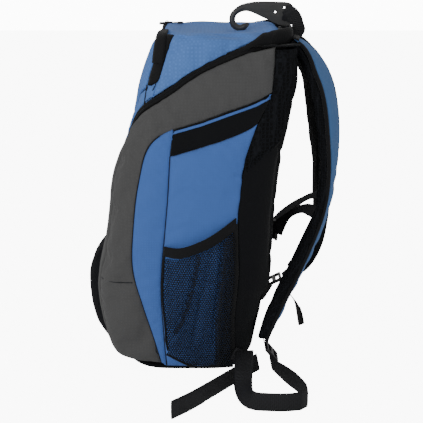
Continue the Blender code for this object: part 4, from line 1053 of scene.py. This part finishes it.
def make_lower_webbing():
    """The slack webbing low on both sides: loops, tails with folded ends, and tabs at the corners."""
    for sign, side, loop, tail in ((1, "right", LOOP_RIGHT, TAIL_RIGHT), (-1, "left", LOOP_LEFT, TAIL_LEFT)):
        web = webbing(f"lower_web_{side}", loop, WEB_WIDTH, 150)
        bend(web, "webbing", SHARED, loop[3][0], loop[-1][0], f"lower_webbing_{side}")
        end = webbing(f"tail_{side}", tail, WEB_WIDTH, 90)
        hem = webbing(f"tail_hem_{side}", tail, WEB_WIDTH - 0.0006, 90, start=0.84, lift=WEB_THICK * 0.97)
        place(end, "harness", "webbing", f"webbing_tail_{side}")
        place(hem, "harness", "webbing")
        anchor = [((sign * x, y, z), across) for (x, y, z), across in ANCHOR]
        place(webbing(f"corner_tab_{side}", anchor, 0.024, 24, 0.0016), "pack_body", "webbing",
              f"corner_anchor_{side}")


def make_locks():
    """Ladder locks with their ribbed grips, and the webbing that sews them to the straps."""
    for side, centre, tilt, strap in LOCKS:
        moulded(f"lock_{side}", f"ladder_lock_{side}", "harness", bevel=0.0011)
        cosine, sine = math.cos(math.radians(tilt)), math.sin(math.radians(tilt))
        axis, up = Vector((0.0, cosine, sine)), Vector((0.0, -sine, cosine))
        centre, strap_end = Vector(centre), Vector(strap[-1])
        toward = (strap_end - centre).normalized()
        facing = math.copysign(1.0, axis.dot(toward))
        for k, shift in enumerate((0.0092, 0.0107)):
            middle = centre - axis * (facing * shift) + up * 0.0024
            grip(f"lock_rib_{side}_{k}", middle, (1, 0, 0), 0.012, 7, "harness")
        start = strap_end - toward * 0.0058
        finish = centre + axis * (facing * 0.0140)
        short = [(start.lerp(finish, u), (1, 0, 0)) for u in (0.0, 0.5, 1.0)]
        place(webbing(f"lock_web_{side}", short, WEB_WIDTH, 20), "harness", "webbing", f"lock_loop_{side}")


def grip(name, centre, along, half, count, body):
    """A round rib on a moulded part, along one direction."""
    path = [centre + Vector(along) * reach for reach in np.linspace(-half, half, count)]
    place(tube(name, path, 0.0007, "black_plastic"), body, "black_plastic")


def rounded(name, node, look, bevel, segments):
    """A CAD piece with its flat faces joined and its edges rounded."""
    bm = node_bmesh(node)
    bmesh.ops.dissolve_limit(bm, angle_limit=0.02, verts=bm.verts, edges=bm.edges)
    edges = [edge for edge in bm.edges if edge.is_manifold and edge.calc_face_angle(0.0) > 0.9]
    bmesh.ops.bevel(bm, geom=edges, offset=bevel, segments=segments, profile=0.6, affect="EDGES",
                    clamp_overlap=True)
    obj = new_object(name, bm, look)
    obj.data.set_sharp_from_angle(angle=math.radians(45))
    return obj


def moulded(name, node, body, look="black_plastic", bevel=0.0008, segments=3):
    """A moulded plastic part on a body, with its CAD node hidden."""
    return place(rounded(name, node, look, bevel, segments), body, look, node)


def make_sternum():
    """Sternum strap: keepers, webbing, buckle."""
    for side, route in (("right", STERNUM_RIGHT), ("left", STERNUM_LEFT)):
        moulded(f"keeper_{side}", f"sternum_keeper_{side}", "sternum")
        web = webbing(f"chest_web_{side}", route, STERNUM_WIDTH, 70)
        if side == "right":
            bend(web, "webbing", ("sternum", "clip"), route[2][0], route[-1][0], "sternum_webbing_right")
        else:
            place(web, "sternum", "webbing", "sternum_webbing_left")
    moulded("socket", "buckle_socket", "sternum", bevel=0.0012)
    moulded("prongs", "buckle_clip", "clip", bevel=0.0006)
    x, y, z = BUCKLE_CENTRE
    for side, word in ((1, "up"), (-1, "low")):
        for k in range(3):
            centre = Vector((x - 0.006 + 0.004 * k, y, z + side * 0.0120))
            grip(f"socket_grip_{k}_{word}", centre, (0, 1, 0), 0.0028, 3, "sternum")


# ---- hook and zips ------------------------------------------------------------------
def tapered_tube(name, path, radii, look, sides=20):
    """A round bar along points, whose radius changes on the way."""
    obj = tube(name, path, 1.0, look, sides)
    co = points_of(obj)
    for i, (point, radius) in enumerate(zip(path, radii)):
        ring = co[i * sides:(i + 1) * sides]
        co[i * sides:(i + 1) * sides] = np.array(point) + (ring - np.array(point)) * radius
    set_points(obj, co)
    return obj


def make_hook():
    """The flat hook with rounded edges and a round curl, and the haul loop that holds it."""
    moulded("hook_plate", "carry_hook", "hook", "plastic", 0.0015, 4)
    path = smooth_line([(0.0, y, z) for y, z in HOOK_CURL], 60)
    swelling = np.clip(np.linspace(0, 1, 60) / 0.35, 0, 1) ** 0.7
    radii = CURL_ROOT + (CURL_RADIUS - CURL_ROOT) * swelling
    radii[-6:] = CURL_RADIUS * np.sqrt(1 - np.linspace(0.0, 0.97, 6) ** 2)      # the round tip
    place(tapered_tube("hook_curl", path, radii, "plastic"), "hook", "plastic")
    loop = rounded("haul_web", "haul_loop", "webbing", 0.0006, 2)
    layer = loop.data.uv_layers.new(name="UVMap")
    co = points_of(loop)
    for item in loop.data.loops:
        y, z = co[item.vertex_index][1] - HAUL_CENTRE[0], co[item.vertex_index][2] - HAUL_CENTRE[1]
        layer.data[item.index].uv = (math.atan2(z, y) * HAUL_RADIUS, math.hypot(y, z))
    bend(loop, "webbing", ("pack_body", "hook"), (0, 0.1440, 0.4600), (0, 0.1240, 0.4880), "haul_loop")


def make_zips():
    """Sliders with their bails, and flat pulls."""
    x, y, z = MAIN_BAIL
    for sign, side in SIDES:
        root, heading = Vector((sign * x, y, z)), Vector((sign, 0, 0))
        moulded(f"slider_{side}", f"main_slider_{side}", f"slider_{side}", bevel=0.0009)
        bail(f"bail_{side}", root, heading, f"slider_{side}")
        pull(f"zip_pull_{side}", f"main_pull_{side}", root, heading, MAIN_PULL, f"pull_{side}")
    root, heading = Vector(POCKET_BAIL), Vector((0, 1, 0))
    moulded("pocket_slider_body", "lid_pocket_slider", "pocket_slider", bevel=0.0009)
    bail("pocket_bail", root, heading, "pocket_slider")
    pull("pocket_zip_pull", "lid_pocket_pull", root, heading, POCKET_PULL, "pocket_pull")


def bail(name, centre, heading, body):
    """The slider's arch, in the plane that its pull turns in."""
    arch = []
    for a in np.linspace(0, math.pi, 13):
        rise = BAIL_RADIUS * math.sin(a) - BAIL_DROP
        arch.append(centre + heading * (BAIL_RADIUS * math.cos(a)) + Vector((0, 0, rise)))
    place(tube(name, arch, 0.0006, "black_plastic"), body, "black_plastic")


def pull(name, node, root, heading, length, body):
    """A flat woven pull with a moulded end, and the wire that goes through the bail."""
    across = Vector((0, 0, 1)).cross(heading)
    route = [(root + heading * (length * u) + Vector((0, 0, rise)), across)
             for u, rise in ((0.0046 / length, 0.0), (0.4, 0.0005), (0.7, 0.0002), (0.98, 0.0))]
    place(webbing(name, route, 0.0050, 30, 0.0015, 6), body, "webbing", node)
    half = ((0.0058, 0.0015), (0.0006, 0.0016), (0.0, 0.0009))      # the wire's reach and half width
    wire = [root + heading * reach + across * side for reach, side in half]
    wire += [root + heading * reach - across * side for reach, side in half[::-1]]
    place(tube(name + "_wire", wire, 0.0004, "black_plastic"), body, "webbing")
    tip = root + heading * (length - 0.003)
    end = tapered_tube(name + "_end", [tip + heading * (0.0062 * t) for t in (-1, -0.8, 0, 0.35, 0.5)],
                       (0.0012, 0.0017, 0.0018, 0.0015, 0.0008), "black_plastic", 14)
    co = points_of(end)
    side = (co - np.array(root)) @ np.array(across)
    set_points(end, co + side[:, None] * 0.6 * np.array(across))       # wider than it's thick
    place(end, body, "webbing")


def make_seam_tapes():
    """The tape inside the long seams, which closes them against the light."""
    def ground(*names):
        return Ground([bpy.data.objects[name] for name in names])

    rim = ground("wing_right", "zip_lip_body", "zip_lip_lid", "lid_cover", "flap_cover")
    for name, shift, body in (("zip_tape_low", -0.0057, "pack_body"), ("zip_tape_high", 0.0057, "lid")):
        line = [(y, z + shift) for y, z in smooth_line(ZIP_LINE, 60)[TAPE_START:]]
        pair(lambda n: flank_strip(rim, n, line, TAPE_HALF, TAPE_HALF, TAPE_LIFT, 0.0, TAPE_THICK, "piping"),
             name, body, "black")
    rear = ground("wing_right", "gusset_band_right", "flank_right", "back_padding")
    line = smooth_line(BACK_SEAM, 70)
    edges = [eased([rear.flank(y + shift, z, TAPE_LIFT) for y, z in line]) for shift in (-0.006, 0.006)]
    pair(lambda n: strip(n, *edges, 0.0, TAPE_THICK, "piping"), "back_tape", "pack_body", "black")


def make_inside():
    """What shows only when the lid is open: the stiffener and the lid pocket's lining."""
    moulded("stiffener", "frame_sheet", "pack_body", "sheet", 0.0004, 2)
    cloth_panel("pocket_lining", "lid_pocket_liner", "lining", "lid", "black", LINER, LID_INSIDE, puff=0.0,
                ripple=0.0004, seed=43, reach=0.0, dip=0.0, **TAUT)


# ---- lid's trims --------------------------------------------------------------------
def make_placket(ground, corner):
    """The end of the pocket's band and the short blue placket between it and the main zip."""
    def edge(line, lift, dy=0.0, dz=0.0):
        """Points of the flank between two (y, z) points, moved by dy, and by up to dz at the end."""
        (y0, z0), (y1, z1) = line
        return [ground.flank(y0 + (y1 - y0) * u + dy, z0 + (z1 - z0) * u + dz * u, lift)
                for u in np.linspace(0, 1, 7)]

    band = edge(POCKET_BAND_END, 0.0012), edge(POCKET_BAND_END, 0.0012, -0.0125)
    pair(lambda n: strip(n, *band, 0.0004, 0.0010, "piping"), "band_end", "lid", "black")
    cloth = edge(PLACKET, 0.0010, 0.0105, 0.007), edge(PLACKET, 0.0010)
    pair(lambda n: strip(n, *cloth, 0.0006, 0.0012, "lid_blue"), "placket", "lid", "lid_blue")
    sides = [eased([corner.clear(p, 0.0018) for p in smooth_line(line, 30)], 6)
             for line in (BAND_FRONT, BAND_REAR)]
    pair(lambda n: strip(n, *sides, 0.0010, 0.0012, "piping"), "band_top", "lid", "black")
    (y0, z0), (y1, z1) = PLACKET
    seam_threads("placket_seam", ground, [(y0 - 0.0004, z0 + 0.0005), (y1 - 0.0004, z1)], body="lid",
                 slot="black", radius=0.0011, lift=0.0008)


def rim_track():
    """Points of the main zip round the lid's right rear corner, and of the guard's free end."""
    corners = [v.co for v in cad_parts["zip_tape_lid"].data.vertices if v.co.x > 0 and v.co.y > 0.02]
    turns = [math.atan2(co.x, co.y - 0.03) for co in corners]
    points = []
    for middle in np.arange(1.52, 0.94, -0.08):
        near = [co for co, turn in zip(corners, turns) if middle - 0.11 < turn <= middle + 0.11]
        if near:
            points.append(sum(near, Vector()) / len(near))
    return smooth_line(points, 36), smooth_line([points[-1], *map(Vector, GUARD_END)], 18)[2:]


def make_zip_guard(ground):
    """The soft black guard that widens from the main zip round the lid's rear corners, in two halves."""
    track, free = rim_track()
    swell = np.clip(np.linspace(0, 4, len(track) + len(free)), 0, 1)
    low, high = [], []
    for (x, y, z), full in zip(track, swell):
        rise = float(np.interp(y, *GUARD_RISE))
        low.append(ground.nearest((x, y, z - GUARD_DROP), 0.0008 + 0.0020 * full))
        edge = ground.nearest((x, y, z + min(rise, 0.006)), 0.0002 + 0.0022 * full)
        edge.z = max(z + rise, edge.z)
        high.append(edge)
    for x, y, z in free:
        low.append(Vector((x, y, z - FREE_DROP)))
        high.append(Vector((x, y, z + float(np.interp(y, *GUARD_RISE)))))

    def make(name):
        obj = strip(name, eased(high), eased(low), 0.0006 + 0.0042 * swell, 0.0020, "piping", 12)
        co = points_of(obj)
        gathers = np.sin(co[:, 1] * 2 * math.pi / GATHER_PITCH + 3 * wrinkles(co, 0.03, 53))
        set_points(obj, co + normals_of(obj) * (GATHER_DEPTH * gathers)[:, None])
        return subdivide(obj, 1)

    pair(make, "zip_guard", "pack_body", "black")


# ---- stage --------------------------------------------------------------------------
def make_stage():
    """Pale floor, soft light and the camera."""
    bm = bmesh.new()
    bmesh.ops.create_grid(bm, x_segments=1, y_segments=1, size=6.0)
    g = Graph("floor_paint", 0.9, Specular_IOR_Level=0.1)
    g.shade((0.93, 0.93, 0.93), g.noise(3.0), 0.98, 1.02)
    seen = g.node("LightPath").outputs["Is Camera Ray"]
    g.join((1.0, 1.0, 1.0, 1.0), g.shader.inputs["Emission Color"])
    g.join(g.maths("MULTIPLY", seen, FLOOR_GLOW), g.shader.inputs["Emission Strength"])
    LOOK["floor"] = g.material
    floor = new_object("floor", bm, "floor")
    floor.location.z = FLOOR_Z
    world = bpy.data.worlds.new("studio")
    world.use_nodes = True
    sky = world.node_tree.nodes["Background"]
    sky.inputs[0].default_value = (1.0, 1.0, 1.0, 1.0)
    rays = world.node_tree.nodes.new("ShaderNodeLightPath")
    level = world.node_tree.nodes.new("ShaderNodeMath")
    level.operation = "MULTIPLY_ADD"
    level.inputs[1].default_value, level.inputs[2].default_value = SKY_SEEN - SKY_LIGHT, SKY_LIGHT
    world.node_tree.links.new(rays.outputs["Is Camera Ray"], level.inputs[0])
    world.node_tree.links.new(level.outputs[0], sky.inputs[1])
    bpy.context.scene.world = world
    for name, position, power, size in LAMPS:
        lamp = bpy.data.lights.new(name, "AREA")
        lamp.energy, lamp.size = power, size
        obj = bpy.data.objects.new(name, lamp)
        obj.location = position
        obj.rotation_euler = (Vector(AIM) - obj.location).to_track_quat("-Z", "Y").to_euler()
        bpy.context.scene.collection.objects.link(obj)
    camera = bpy.data.objects.new("camera", bpy.data.cameras.new("camera"))
    camera.data.lens, camera.data.sensor_width = LENS, 36.0
    camera.location = CAMERA_AT
    camera.rotation_euler = (math.radians(90.0 - CAMERA_TILT), 0.0, math.radians(90.0))
    bpy.context.scene.collection.objects.link(camera)
    bpy.context.scene.camera = camera


def main():
    """Builds every piece."""
    make_stage()
    make_materials()
    make_panels()
    make_lid()
    make_back()
    make_strap("right", STRAP_RIGHT)
    make_strap("left", STRAP_LEFT)
    make_lower_webbing()
    make_locks()
    make_sternum()
    make_hook()
    make_zips()
    make_inside()
    make_seam_tapes()


main()
